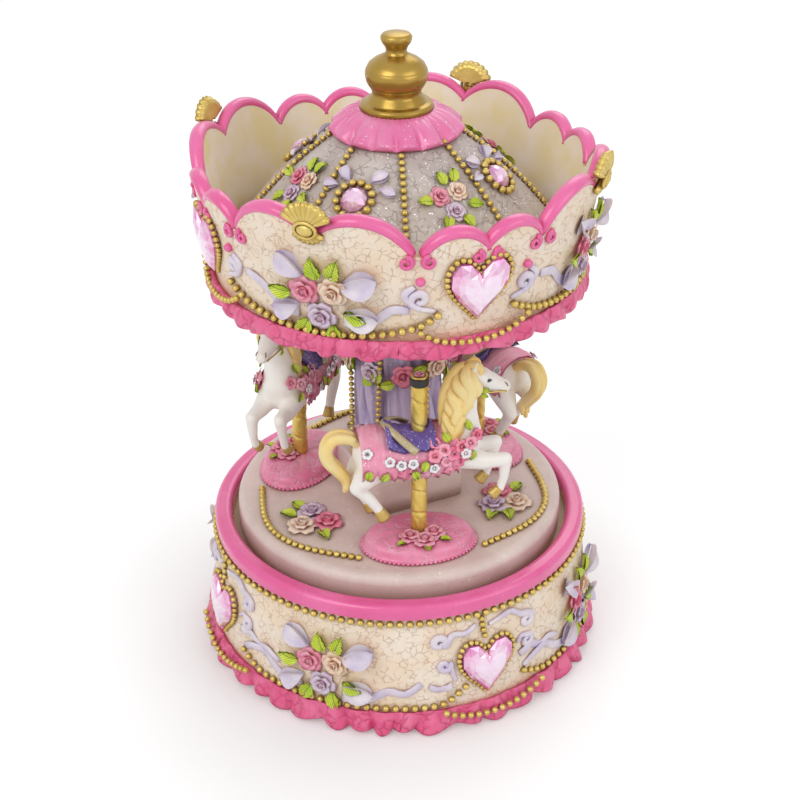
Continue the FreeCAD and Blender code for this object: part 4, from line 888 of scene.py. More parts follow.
def heart_line(count_points, grow=0.0):
    """A heart outline, (sideways, up) in millimetres, notch first; grow makes it larger all round."""
    t = np.linspace(0, TURN, count_points, endpoint=False)
    wide, long = HEART_WIDE + 2 * grow, HEART_LONG + 2 * grow
    side = np.sign(np.sin(t)) * np.abs(np.sin(t)) ** 2.3 * wide / 2
    up = (13 * np.cos(t) - 5 * np.cos(2 * t) - 2 * np.cos(3 * t) - np.cos(4 * t) + 2.55) / 29.0 * long
    return np.stack((side, up), axis=1)


BASE_HEART = (25.1, 17.0)
CROWN_HEART = (21.9, 121.2)
heart_seats = {
    "base": [base_seat(BASE_HEART[0] + quarter, BASE_HEART[1]) for quarter in QUARTERS],
    "crown": [crown_seat(CROWN_HEART[0] + quarter, CROWN_HEART[1]) for quarter in QUARTERS],
}


def heart_border(place, grow=0.55, lift=0.25, steps=200):
    """Bead places round a heart, in the seat's own plane."""
    outline = heart_line(steps, grow)
    flat = np.concatenate((outline, np.full((steps, 1), lift)), axis=1)
    return evenly(flat, 1.55, True) @ place[:3, :3].T + place[:3, 3]


# %% Bead strings of the base
beads = []
rim_string = np.stack(polar(np.linspace(0, 360, 400), 50.0, 32.6), axis=1)
beads += bead_seats(evenly(rim_string[:-1], 2.45, True), 0.98)
quarter_arc = math.radians(90) * 52.0
low_string = [(11.5, 10.6), (16, 8.6), (21, 7.6), (32, 7.5), (44, 7.5), (56, 7.5)]
low_string += [(quarter_arc - 17, 7.4), (quarter_arc - 11.5, 8.2), (quarter_arc - 6.6, 12.2)]
low_swag = [(-11.5, 7.0), (-8.5, 5.6), (-4, 4.6), (1, 4.2), (6.5, 4.6), (11, 5.8), (15.5, 7.4)]
drop = [(-1.0, 31.2), (-0.7, 28.4), (-0.3, 26.2)]
for quarter, place in zip(QUARTERS, heart_seats["base"]):
    azimuth = BASE_HEART[0] + quarter
    beads += bead_seats(evenly(on_wall(low_string, azimuth, base_radius, 0.55, 160)[0], 2.45), 0.95)
    beads += bead_seats(evenly(on_wall(low_swag, azimuth, base_radius, 3.1, 80)[0], 2.3), 0.9)
    beads += bead_seats(evenly(on_wall(drop, azimuth, base_radius, 0.5, 20)[0], 1.9), 0.85)
    beads += bead_seats(heart_border(place), 0.76)
base_beads = copied("base_beads", bead, beads)
dressed(base_beads, gold_bead, "base", "gold_trim", "base_bead_strings")

# %% Bead strings of the canopy
beads = []
quarter_arc = math.radians(90) * 46.2
crown_string = [(9.8, 114.8), (13.5, 112.9), (17.5, 111.5), (24, 110.5), (34, 110.0), (44, 110.3)]
crown_string += [(quarter_arc - 20.3, 111.3), (quarter_arc - 13.5, 113.0), (quarter_arc - 9.2, 115.6)]
crown_swag = [(-12.5, 111.8), (-9.3, 109.9), (-5.4, 108.8), (0, 108.4), (4.7, 108.7), (9.3, 109.9), (13, 112)]
for quarter, place in zip(QUARTERS, heart_seats["crown"]):
    azimuth = CROWN_HEART[0] + quarter
    beads += bead_seats(evenly(on_wall(crown_string, azimuth, crown_radius, 0.9, 160)[0], 2.25), 1.0)
    beads += bead_seats(evenly(on_wall(crown_swag, azimuth, crown_radius, 2.2, 80)[0], 2.0), 0.85)
    beads += bead_seats(heart_border(place), 0.76)
canopy_beads = copied("canopy_beads", bead, beads)
dressed(canopy_beads, gold_bead, "carousel", "gold_trim", "canopy_bead_string")

# %% Ribs and bezels of the roof
beads = []
rib_shares = np.linspace(0.03, 0.86, 40)
for rib in range(RIB_COUNT):
    azimuth = RIB_AZIMUTH + rib * 360.0 / RIB_COUNT
    radii, heights = roof_point(rib_shares, 0.35)
    line = np.stack(polar(azimuth + 0 * rib_shares, radii, heights), axis=1)
    beads += bead_seats(evenly(line, 1.8), 0.85)
roof_ribs = copied("roof_rib_beads", bead, beads)
dressed(roof_ribs, gold_bead, "carousel", "gold_trim", "roof_ribs")


def roof_seat(azimuth, radius, **more):
    """A seat on the roof with up along the slope towards the peak."""
    share = (ROOF_EDGE - radius) / (ROOF_EDGE - ROOF_NECK)
    low = np.array(polar(np.float64(azimuth), *roof_point(share - 0.02)))
    high = np.array(polar(np.float64(azimuth), *roof_point(share + 0.02)))
    up = (high - low) / np.linalg.norm(high - low)
    angle = math.radians(azimuth)
    right = np.array((math.cos(angle), math.sin(angle), 0))
    return seat(right, up, np.cross(right, up), (low + high) / 2, **more)


ROOF_GEM_AZIMUTH, ROOF_GEM_CIRCLE = -22.5, 23.5
ROOF_ROSE_AZIMUTH, ROOF_ROSE_CIRCLE = 28.0, 23.2
BEZEL_BEADS, BEZEL_RADIUS = 13, 4.3
gem_seats = [roof_seat(ROOF_GEM_AZIMUTH + quarter, ROOF_GEM_CIRCLE) for quarter in QUARTERS]
beads = []
for place in gem_seats:
    for step in range(BEZEL_BEADS):
        angle = TURN * step / BEZEL_BEADS
        spot = np.array((BEZEL_RADIUS * math.cos(angle), BEZEL_RADIUS * math.sin(angle), 0.7))
        beads.append(flat_seat(place[:3, :3] @ spot + place[:3, 3], 0.98))
gem_bezels = copied("roof_gem_beads", bead, beads)
dressed(gem_bezels, gold_bead, "carousel", "gold_trim", "roof_gem_bezels")

# %% Bead arcs of the turntable
TABLE_TOP = 42.0
SEATS = (("front", 10.0), ("right", 130.0), ("left", 250.0))
BETWEEN_SEATS, ARC_HALF = 60.0, 34.0
beads = []
for name, azimuth in SEATS:
    middle = azimuth + BETWEEN_SEATS
    spots = np.linspace(middle - ARC_HALF, middle + ARC_HALF, 120)
    sway = 38.6 + 1.6 * np.cos(np.radians((spots - middle) * 180 / ARC_HALF))
    line = np.stack(polar(spots, sway, TABLE_TOP + 0.55), axis=1)
    beads += bead_seats(evenly(line, 1.9), 0.95)
table_beads = copied("table_beads", bead, beads)
dressed(table_beads, gold_bead, "carousel", "gold_trim", "turntable_bead_arcs")

# %% [markdown]
# ## Cut stones
# The hearts are foil-backed acrylic stones: a pink edge, and facets that flash from white to deep
# pink. Each is built in rings of flat faces with the rings turned half a step, which makes diamond
# facets, and every facet gets a tint of its own: deep pink low down and pale on the top facets, with
# a random scatter. The pale tints are painted reflections of the foil.

# %% Heart stones and round stones
def facets(name, outline, rings):
    """A faceted stone over an outline; rings are (share of the outline, height, half-step turn)."""
    steps = len(outline)

    def place(u, v):
        ring = np.rint(v * (len(rings) - 1)).astype(int)
        share, height, turn = (np.array(column)[ring] for column in zip(*rings))
        at = (np.rint(u * steps) + turn * 0.5) % steps
        low = np.floor(at).astype(int) % steps
        blend = (at - np.floor(at))[:, None]
        spot = outline[low] * (1 - blend) + outline[(low + 1) % steps] * blend
        return spot[:, 0] * share, spot[:, 1] * share, height + 0 * share

    stone = wrapped(name, steps, len(rings) - 1, place, smooth=False)
    pick(stone)
    bpy.ops.object.mode_set(mode="EDIT")
    bpy.ops.mesh.select_all(action="SELECT")
    bpy.ops.mesh.quads_convert_to_tris()
    bpy.ops.object.mode_set(mode="OBJECT")
    return stone


def facet_tints_and_reflections(piece, model, deep, pale, seed):
    """A tint for each facet: deep at the edge of the stone, pale on top as a painted reflection."""
    draw = np.random.default_rng(seed)
    heights = np.array([face.center.z for face in model.data.polygons])
    rise = np.tile((heights - heights.min()) / np.ptp(heights), len(piece.data.polygons) // len(heights))
    # Higher facets turn pale: painted reflection of the foil, scattered at random.
    shares = np.clip(rise ** 3 + 0.5 * (draw.random(len(rise)) - 0.3), 0, 1)
    tints = np.array(deep) + (np.array(pale) - np.array(deep)) * shares[:, None]
    layer = piece.data.attributes.new("tint", "FLOAT_COLOR", "FACE")
    layer.data.foreach_set("color", tints.ravel())


def stone_finish(name):
    """Clear acrylic over foil: the facet's tint with its painted reflection, a hard gloss and a faint inner
    cloud.
    """
    material = bpy.data.materials.new(name)
    material.use_nodes = True
    tree = material.node_tree
    shader = tree.nodes["Principled BSDF"]
    clouds = node(tree, "ShaderNodeGroup", node_tree=mottle)
    clouds.inputs["Scale"].default_value = 420.0
    own = node(tree, "ShaderNodeAttribute", attribute_name="tint").outputs["Color"]
    lighter = mixed(tree, 0.35, own, WHITE)
    feed(tree, mixed(tree, clouds.outputs["Cloud"], own, lighter), shader.inputs["Base Color"])
    feed(tree, spread(tree, clouds.outputs["Cloud"], 0, 1, 0.03, 0.1), shader.inputs["Roughness"])
    shader.inputs["Metallic"].default_value = 0.3
    shader.inputs["Coat Weight"].default_value = 1.0
    shader.inputs["Coat Roughness"].default_value = 0.03
    return material


stone_pink = stone_finish("stone_pink")
heart_rings = [(0.0, -0.9, 0), (1.0, -0.9, 0), (1.0, 1.2, 0), (0.84, 2.1, 1), (0.62, 2.7, 0),
               (0.36, 3.05, 1), (0.0, 3.2, 0)]
heart_stone = facets("heart_model", heart_line(18), heart_rings)
for where, body, cad_node in (("base", "base", "base_heart_gems"), ("crown", "carousel", "crown_heart_gems")):
    stones = copied(where + "_heart_stones", heart_stone, heart_seats[where])
    facet_tints_and_reflections(stones, heart_stone, colour(230, 70, 176), colour(254, 226, 249), 5)
    dressed(stones, stone_pink, body, "gem_acrylic", cad_node)
ROUND_RADIUS, ROUND_SIDES = 3.2, 10
round_angles = np.linspace(0, TURN, ROUND_SIDES, endpoint=False)
round_line = ROUND_RADIUS * np.stack((np.sin(round_angles), np.cos(round_angles)), axis=1)
round_rings = [(0.0, -0.6, 0), (1.0, -0.6, 0), (1.0, 0.9, 0), (0.8, 1.7, 1), (0.45, 2.3, 0), (0.0, 2.4, 0)]
round_stone = facets("round_model", round_line, round_rings)
roof_stones = copied("roof_stones", round_stone, gem_seats)
facet_tints_and_reflections(roof_stones, round_stone, colour(190, 74, 160), colour(244, 200, 236), 9)
dressed(roof_stones, stone_pink, "carousel", "gem_acrylic", "roof_gems")
put_away(heart_stone)
put_away(round_stone)

# %% [markdown]
# ## Roses and leaves
# The flowers are modelled like sugar roses: a rolled bud, then rings of cupped petals that open
# wider and curl at the edge. A leaf is a pointed blade folded along its middle. Both are made once at
# unit size; every copy brings its own tint, so that pink, cream and lilac roses share one paint.

# %% Rose and leaf models
def petal(name, turn, spread_half, low_radius, high_radius, high, curl_out):
    """One cupped petal with a front and a back, made at unit size."""
    def place(u, v):
        t = 1 - np.abs(2 * v - 1)
        back = np.where(v > 0.5, 0.07, 0.0) * np.sin(math.pi * np.clip(t, 0.02, 1)) ** 0.5
        taper = np.sqrt(np.clip(1 - (np.maximum(t - 0.35, 0) / 0.68) ** 2, 0.02, 1))
        angle = turn + (2 * u - 1) * spread_half * taper
        edge = np.clip((t - 0.7) / 0.3, 0, 1)
        radius = low_radius + (high_radius - low_radius) * t ** 1.4 + curl_out * edge ** 2 + back
        droop = 0.06 * np.abs(2 * u - 1) ** 2 * t
        height = high * np.sin(t * math.pi / 2) - 0.5 * curl_out * edge ** 2 - droop
        return radius * np.cos(angle), radius * np.sin(angle), height

    return wrapped(name, 5, 10, place)


def bud(u, v):
    """A strip rolled into a spiral, with a little thickness."""
    turn = 1.7 * TURN * u
    side = np.where(v > 0.5, 0.05, 0.0)
    t = 1 - np.abs(2 * v - 1)
    radius = 0.05 + 0.2 * u + side
    return radius * np.cos(turn), radius * np.sin(turn), (0.82 - 0.12 * u) * t


petals = [wrapped("petal", 20, 4, bud)]
for ring, (number, half, low, high_radius, high, curl_out) in enumerate((
        (3, 1.15, 0.14, 0.38, 0.80, 0.06), (4, 0.95, 0.24, 0.70, 0.62, 0.14),
        (5, 0.82, 0.36, 0.98, 0.36, 0.16))):
    for step in range(number):
        turn = TURN * (step + 0.4 * ring) / number
        petals.append(petal("petal", turn, half, low, high_radius, high, curl_out))
rose = joined("rose_model", petals)


def place_leaf(u, v):
    t = 1 - np.abs(2 * v - 1)
    under = np.where(v > 0.5, -0.09, 0.0)
    side = 2 * u - 1
    wide = 0.33 * np.sin(math.pi * np.clip(t, 0, 1) ** 0.75) ** 0.8 * (1 + 0.10 * np.sin(t * 26))
    arch = np.sin(math.pi * t)
    return side * wide, t - 0.05, 0.16 * np.abs(side) ** 1.3 + 0.16 * arch + under * arch


leaf = wrapped("leaf_model", 6, 24, place_leaf)
spots = np.array([vertex.co for vertex in leaf.data.vertices]) / MM
sideways, along = spots[:, 0], spots[:, 1]
marked(leaf, "vein", np.stack((sideways * 2 + 0.5, along, 0 * along, 0 * along + 1), axis=1))
print("rose", len(rose.data.polygons), "faces, leaf", len(leaf.data.polygons), "faces")

# %% Where the bouquets sit
PINK, CREAM, LILAC = colour(246, 118, 156), colour(255, 226, 196), colour(224, 202, 224)
ROSE_TINTS = (PINK, CREAM, LILAC)
bouquet_roses = ((-3.3, 0.6), (3.7, 1.2), (0.2, -5.9))
bouquet_leaves = ((0.2, 4.4, 14), (3.6, 4.8, -20), (-6.8, -0.6, 80), (6.0, -4.0, -108), (2.8, -8.0, -165),
                  (-3.0, -7.2, 150))
table_leaves = ((-6.6, -0.8, 86), (-5.0, -4.4, 118), (6.0, -3.0, -104))


def bouquet(place, size, roses, tints, leaves, blades=bouquet_leaves, rose_size=3.5, own_tints=ROSE_TINTS):
    """Add the seats of a three-rose bouquet round a place."""
    directions = place[:3, :3]
    for (side, up), tint in zip(bouquet_roses, own_tints):
        spot = directions @ np.array((side, up, -0.3)) * size + place[:3, 3]
        roses.append(seat(*directions.T, spot, rose_size * size, roll=side * 31))
        tints.append(tint)
    for side, up, roll in blades:
        spot = directions @ np.array((side, up, 0.1)) * size + place[:3, 3]
        leaves.append(seat(*directions.T, spot, 5.6 * size, roll=roll))


def vein_leaf_paint():
    """Leaf paint with dark side veins drawn from the leaf's own coordinates."""
    tree = leaf_paint.node_tree
    shader = tree.nodes["Principled BSDF"]
    skin = shader.inputs["Base Color"].links[0].from_socket
    own = node(tree, "ShaderNodeSeparateColor")
    feed(tree, node(tree, "ShaderNodeAttribute", attribute_name="vein").outputs["Color"], own.inputs[0])
    side = sum_of(tree, "ABSOLUTE", sum_of(tree, "SUBTRACT", own.outputs[0], 0.5))
    slant = sum_of(tree, "SUBTRACT", own.outputs[1], side)
    wave = sum_of(tree, "SINE", sum_of(tree, "MULTIPLY", slant, 34.0))
    lines = spread(tree, wave, 0.72, 0.95, 0.0, 0.85)
    middle = spread(tree, side, 0.0, 0.07, 0.9, 0.0)
    dark = sum_of(tree, "MAXIMUM", lines, middle)
    feed(tree, mixed(tree, dark, skin, colour(58, 84, 22)), shader.inputs["Base Color"])


vein_leaf_paint()
BASE_BOUQUET, CROWN_BOUQUET = (-22.5, 18.5), (-21.8, 120.2)
roses, tints, leaves = [], [], []
for quarter in QUARTERS:
    bouquet(base_seat(BASE_BOUQUET[0] + quarter, BASE_BOUQUET[1]), 1.0, roses, tints, leaves)
dressed(copied("base_rose_blooms", rose, roses, tints), petal_paint, "base", "rose_resin", "base_roses")
dressed(copied("base_rose_leaves", leaf, leaves), leaf_paint, "base", "leaf_resin", "base_leaves")

roses, tints, leaves = [], [], []
for quarter in QUARTERS:
    bouquet(crown_seat(CROWN_BOUQUET[0] + quarter, CROWN_BOUQUET[1]), 1.0, roses, tints, leaves)
dressed(copied("crown_rose_blooms", rose, roses, tints), petal_paint, "carousel", "rose_resin", "crown_roses")
dressed(copied("crown_rose_leaves", leaf, leaves), leaf_paint, "carousel", "leaf_resin", "crown_leaves")

# %% Roses of the roof, the turntable and the column
roses, tints, leaves = [], [], []
for quarter in QUARTERS:
    bouquet(roof_seat(ROOF_ROSE_AZIMUTH + quarter, ROOF_ROSE_CIRCLE), 0.68, roses, tints, leaves)
dressed(copied("roof_rose_blooms", rose, roses, tints), petal_paint, "carousel", "rose_resin", "roof_roses")
dressed(copied("roof_rose_leaves", leaf, leaves), leaf_paint, "carousel", "leaf_resin")

roses, tints, leaves = [], [], []
table_tints = (LILAC, PINK, CREAM)
for name, azimuth in SEATS:
    angle = math.radians(azimuth + BETWEEN_SEATS)
    away = np.array((math.sin(angle), -math.cos(angle), 0))
    right = np.array((math.cos(angle), math.sin(angle), 0))
    place = seat(right, -away, (0, 0, 1), away * 28.0 + np.array((0, 0, TABLE_TOP)))
    bouquet(place, 0.85, roses, tints, leaves, table_leaves, 4.5, table_tints)
dressed(copied("table_rose_blooms", rose, roses, tints), petal_paint, "carousel", "rose_resin",
        "turntable_roses")
dressed(copied("table_rose_leaves", leaf, leaves), leaf_paint, "carousel", "leaf_resin", "turntable_leaves")

COLUMN_ROSES, COLUMN_STRINGS = 9, 6
roses, tints, leaves = [], [], []
for step in range(COLUMN_ROSES):
    azimuth = 360.0 / COLUMN_ROSES * step + 6.0
    height = 81.4 + 1.4 * (step % 2)
    tints.append(ROSE_TINTS[step % 3])
    roses.append(wall_seat(azimuth, 11.6 + (step % 2), height, size=3.0, roll=33 * step))
    leaves.append(wall_seat(azimuth - 11, 12.2, height - 1.8, size=4.2, roll=100 + 20 * step))
    leaves.append(wall_seat(azimuth + 11, 12.2, height + 1.2, size=4.2, roll=-70 - 15 * step))
dressed(copied("column_rose_blooms", rose, roses, tints), petal_paint, "carousel", "rose_resin")
dressed(copied("column_rose_leaves", leaf, leaves), leaf_paint, "carousel", "leaf_resin")
beads = []
heights = np.linspace(53.0, 100.0, 60)
for step in range(COLUMN_STRINGS):
    azimuths = 360.0 / COLUMN_STRINGS * step - 21 + 4 * np.sin(heights / 14.0)
    line = np.stack(polar(azimuths, 12.3, heights), axis=1)
    beads += bead_seats(evenly(line, 1.7), 0.75)
dressed(copied("column_beads", bead, beads), gold_bead, "carousel", "gold_trim")

# %% [markdown]
# ## Gold shells on the crown
# Where two large petals meet, a gilt scallop shell covers the join: a ribbed fan above, a small fan
# below and an oval boss between them. Each fan is a wrapped strip whose height ripples in ribs.

# %% Shells
def fan_of(name, reach, half_angle, ribs, thick, way):
    """A ribbed fan that opens upwards (way 1) or downwards (way -1)."""
    def place(u, v):
        t = 1 - np.abs(2 * v - 1)
        angle = (2 * u - 1) * math.radians(half_angle)
        ripple = np.abs(np.sin(ribs * math.pi * u))
        radius = reach * (0.12 + 0.88 * t) * (1 + 0.07 * ripple * t)
        swell = np.sin(math.pi * np.clip(t * 0.9 + 0.1, 0, 1)) ** 0.5
        front = thick * (0.75 - 0.35 * t ** 2) + 0.55 * ripple * t * swell
        height = np.where(v <= 0.5, front, -1.0) * np.where((u < 0.001) | (u > 0.999), 0.2, 1.0)
        return radius * np.sin(angle), way * radius * np.cos(angle), height

    return wrapped(name, ribs * 6, 12, place)


put_down_all()
bpy.ops.mesh.primitive_uv_sphere_add(segments=20, ring_count=10, radius=MM)
boss = named("boss")
bpy.ops.object.mode_set(mode="EDIT")
bpy.ops.transform.resize(value=(2.0, 1.5, 0.9))
bpy.ops.transform.translate(value=(0, -0.4 * MM, 1.5 * MM))
bpy.ops.object.mode_set(mode="OBJECT")
bpy.ops.object.shade_smooth()
ring_angles = np.linspace(0, TURN, 41)
ring_line = np.stack((2.5 * np.cos(ring_angles), 1.9 * np.sin(ring_angles) - 0.4, 0 * ring_angles + 1.5),
                     axis=1)
boss_ring = swept("boss_ring", ring_line, [(0, 0, 1)] * len(ring_line), 0.42, 0.42, 8)
shell_fans = [fan_of("fan", 5.9, 74, 9, 1.9, 1), fan_of("fan", 4.3, 58, 7, 1.5, -1)]
shell = joined("shell_model", shell_fans + [boss, boss_ring])
SHELL_AZIMUTH, SHELL_HEIGHT = -22.4, 137.6
shell_radius = float(crown_radius(SHELL_HEIGHT)) + 0.4
shells = [wall_seat(SHELL_AZIMUTH + quarter, shell_radius, SHELL_HEIGHT, crown_lean) for quarter in QUARTERS]
dressed(copied("crown_shell_set", shell, shells), gold_bead, "carousel", "gold_trim", "crown_shells")
put_away(shell)

# %% [markdown]
# ## Ribbons, bows and scrolls
# Pale lilac ribbon winds out of every bouquet and curls round the hearts. Flat ribbon and rolled
# scrolls are both swept bands drawn on the wall; a bow loop is a cupped leaf shape with a raised rim.

# %% Bow loop model
def place_loop(u, v):
    t = 1 - np.abs(2 * v - 1)
    side = 2 * u - 1
    wide = 0.30 * np.sin(math.pi * np.clip(t, 0, 1) ** 1.5) ** 0.6
    rim = 0.24 * np.abs(side) ** 4 + 0.07
    body = np.where(v <= 0.5, rim, -0.05) * np.sin(math.pi * np.clip(t, 0.0, 1)) ** 0.5
    return side * wide, t, body


loop = wrapped("loop_model", 8, 24, place_loop)


def bow_seats(place, loops, stand=0.15):
    """Seats for the loops of a bow, given as (sideways, up, roll, size), round a place."""
    directions = place[:3, :3]
    return [seat(*directions.T, directions @ np.array((side, up, stand)) + place[:3, 3], size, roll=roll)
            for side, up, roll, size in loops]


def ribbon(points, azimuth, radius_at, wide, thick=0.32, stand=0.25, count_points=26):
    """A flat ribbon on a wall that narrows to a tail at its far end."""
    path, outs = on_wall(points, azimuth, radius_at, stand, count_points)
    share = np.linspace(0, 1, count_points)
    ripple = 0.28 * np.sin(share * 3.2 * math.pi)
    path = path + outs * ripple[:, None]
    return swept("ribbon", path, outs, wide * (1 - 0.35 * share), thick, 8, 0.7)


def scroll(points, azimuth, radius_at, thick, stand=0.3, count_points=26):
    """A rolled scroll, fullest at its middle."""
    path, outs = on_wall(points, azimuth, radius_at, stand, count_points)
    swell = 0.45 + 0.55 * np.sin(np.linspace(0.15, math.pi - 0.25, count_points))
    return swept("scroll", path, outs, thick * swell, thick * 0.8 * swell, 8)


def spiral_end(side, up, radius, way, aim, turns=1.15, steps=7):
    """Points of a small spiral for the end of a scroll."""
    angles = [aim + way * turns * TURN * step / steps for step in range(steps + 1)]
    reach = [radius * (1 - 0.7 * step / steps) for step in range(steps + 1)]
    return [(side + r * math.cos(a), up + r * math.sin(a)) for a, r in zip(angles, reach)]


# %% Ribbons of the base
base_bows = ((-3.4, 4.6, 56, 8.2), (5.2, 3.2, -66, 9.6), (-5.0, -4.6, 118, 8.0), (5.4, -5.0, -98, 8.6))
bows, bands = [], []
for quarter in QUARTERS:
    azimuth = BASE_BOUQUET[0] + quarter
    bows += bow_seats(base_seat(azimuth, BASE_BOUQUET[1]), base_bows)
    bands.append(ribbon([(5.5, 9.4), (9.5, 8.9), (13.5, 10.4), (17.5, 12.6), (21.5, 12.0), (25.5, 14.6)],
                        azimuth, base_radius, 1.5))
    bands.append(ribbon([(-6, 11.4), (-10, 10.2), (-14.5, 11.6), (-18.5, 14.6), (-22.5, 14.2), (-26.5, 11.8)],
                        azimuth, base_radius, 1.5))
    heart = BASE_HEART[0] + quarter
    bands.append(scroll(spiral_end(-12.4, 26.4, 2.0, 1, -0.6)[::-1]
                        + [(-8.8, 28.2), (-5.4, 28.0), (-2.6, 29.8)],
                        heart, base_radius, 1.05, count_points=44))
    bands.append(scroll([(1.0, 28.8), (4.0, 29.6), (7.4, 30.4), (10.6, 28.2)]
                        + spiral_end(12.6, 25.8, 1.9, -1, 1.6),
                        heart, base_radius, 1.05, count_points=44))
    bands.append(scroll(spiral_end(-11.2, 19.6, 1.7, -1, 0.3)[::-1] + [(-9.2, 17.4), (-8.4, 14.6)],
                        heart, base_radius, 0.9, count_points=36))
    bands.append(scroll([(9.2, 20.2), (10.8, 21.6)] + spiral_end(12.6, 19.6, 1.8, -1, 1.9),
                        heart, base_radius, 0.9, count_points=36))
    bands.append(ribbon([(10.2, 16.2), (14, 17.6), (17.5, 15.4), (21, 16.4), (25, 14.0)], heart, base_radius,
                        1.3))
    bands.append(ribbon([(-9.4, 13.2), (-12, 12.4), (-15.2, 13.6)], heart, base_radius, 1.2))
dressed(copied("base_bows", loop, bows), ribbon_paint, "base", "lilac_resin")
dressed(joined("base_ribbons", bands), ribbon_paint, "base", "lilac_resin")

# %% Ribbons of the crown
crown_bows = ((-3.0, 4.4, 52, 8.0), (5.4, 2.8, -72, 9.4), (-5.0, -3.6, 112, 7.6), (5.4, -4.4, -96, 8.4))
bows, bands, dots = [], [], []
for quarter in QUARTERS:
    azimuth = CROWN_BOUQUET[0] + quarter
    bows += bow_seats(crown_seat(azimuth, CROWN_BOUQUET[1]), crown_bows)
    bands.append(ribbon([(-5.5, 114.2), (-9.5, 114.4), (-13.0, 117.0), (-16.5, 119.8), (-20.5, 120.4)],
                        azimuth, crown_radius, 1.5))
    bands.append(ribbon([(5.5, 113.8), (9, 113.0), (12.8, 114.6), (16.5, 117.4), (20.0, 117.0)],
                        azimuth, crown_radius, 1.5))
    heart = CROWN_HEART[0] + quarter
    for way, side in ((-1, -13.2), (1, 12.4)):
        bands.append(scroll([(side * 0.72, 116.6), (side * 0.95, 117.4)]
                            + spiral_end(side, 120.0, 2.3, way, -math.pi / 2),
                            heart, crown_radius, 1.0, count_points=40))
        bands.append(scroll([(side * 1.12, 118.2), (side * 1.25, 121.4), (side * 1.10, 123.4)], heart,
                            crown_radius, 0.9))
        azimuth_dot = heart + math.degrees(side * 1.02 / 48.2)
        dots.append(flat_seat(wall_point(azimuth_dot, 124.6, 0.4), 1.15))
gem_bows = ((-2.6, 4.6, 40, 4.4), (2.4, 4.9, -52, 4.6), (5.2, 3.6, -100, 4.0), (-5.0, 3.4, 92, 3.8))
for place in gem_seats:
    bows += bow_seats(place, gem_bows, 0.1)
dressed(copied("crown_bows", loop, bows), ribbon_paint, "carousel", "lilac_resin")
dressed(joined("crown_ribbons", bands), ribbon_paint, "carousel", "lilac_resin")
dressed(copied("crown_pink_dots", bead, dots), pink_gloss, "carousel", "pink_resin")
put_away(loop)

# %% [markdown]
# ## Plinths and poles
# Each horse stands over an oval plinth with a bead edge and three little roses at the pole's foot.
# The pole is a gilt tube scored by slanting lines every few millimetres. A black cap with a small
# pink bud closes its top.

# %% Plinths
SEAT_CIRCLE = 28.8


def seat_of_horse(azimuth):
    """The frame of one horse: forward, inwards and up from the turntable."""
    angle = math.radians(azimuth)
    made = np.eye(4)
    made[:2, :2] = ((math.cos(angle), -math.sin(angle)), (math.sin(angle), math.cos(angle)))
    made[:3, 3] = made[:3, :3] @ np.array((0, -SEAT_CIRCLE, 0)) + np.array((0, 0, TABLE_TOP))
    return made


PLINTH_LONG, PLINTH_WIDE, EDGE_INSET = 14.75, 10.0, 0.05
plinth_rings = ((0.0, 0.0), (0.99, 0.0), (1.0, 0.35), (1.0, 0.9), (0.965, 1.25), (0.945, 2.2), (0.92, 2.9),
                (0.87, 3.45), (0.78, 3.75), (0.5, 3.9), (0.0, 3.95))


def place_plinth(u, v):
    share, height = along_rings(plinth_rings, v)
    ripple = 0.12 * np.sin(9 * TURN * u) * np.sin(math.pi * share)
    forward = PLINTH_LONG * share * np.cos(TURN * u)
    inwards = PLINTH_WIDE * share * np.sin(TURN * u)
    return forward, inwards, height + ripple * (height > 3)


plinth = wrapped("plinth_model", 72, 20, place_plinth)
edge_angles = np.linspace(0, TURN, 240, endpoint=False)
edge_line = np.stack(((PLINTH_LONG - EDGE_INSET) * np.cos(edge_angles),
                      (PLINTH_WIDE - EDGE_INSET) * np.sin(edge_angles), 0 * edge_angles + 0.55), axis=1)
edge_beads = copied("edge_bead_model", bead, bead_seats(evenly(edge_line, 1.15, True), 0.52))
plinth_roses = ((3.3, -2.4, 2.9), (-2.8, -3.0, 2.8), (0.5, -5.2, 3.0))
BLUSH = colour(250, 150, 178)
plinth_leaves = ((-4.2, -5.2, 110), (4.6, -5.2, -110), (0.6, -7.4, 180))
for name, azimuth in SEATS:
    place = seat_of_horse(azimuth)
    dressed(copied("plinth_oval_" + name, plinth, [place]), plinth_pink, "carousel", "pink_resin",
            "plinth_" + name)
    dressed(copied("plinth_edge_" + name, edge_beads, [place]), plinth_pink, "carousel", "pink_resin")
    seats = [place @ flat_seat((x, y, 3.7), size, roll=40 * x)
             for x, y, size in plinth_roses]
    dressed(copied("plinth_roses_" + name, rose, seats, [BLUSH] * 3), petal_paint, "carousel", "rose_resin")
    seats = [place @ flat_seat((x, y, 3.85), 2.8, roll=roll)
             for x, y, roll in plinth_leaves]
    dressed(copied("plinth_leaves_" + name, leaf, seats), leaf_paint, "carousel", "leaf_resin")
put_away(plinth)
put_away(edge_beads)

# %% Poles
POLE_LONG, POLE_RADIUS, POLE_BORE, SCORE_PITCH = 48.9, 2.0, 1.35, 6.5


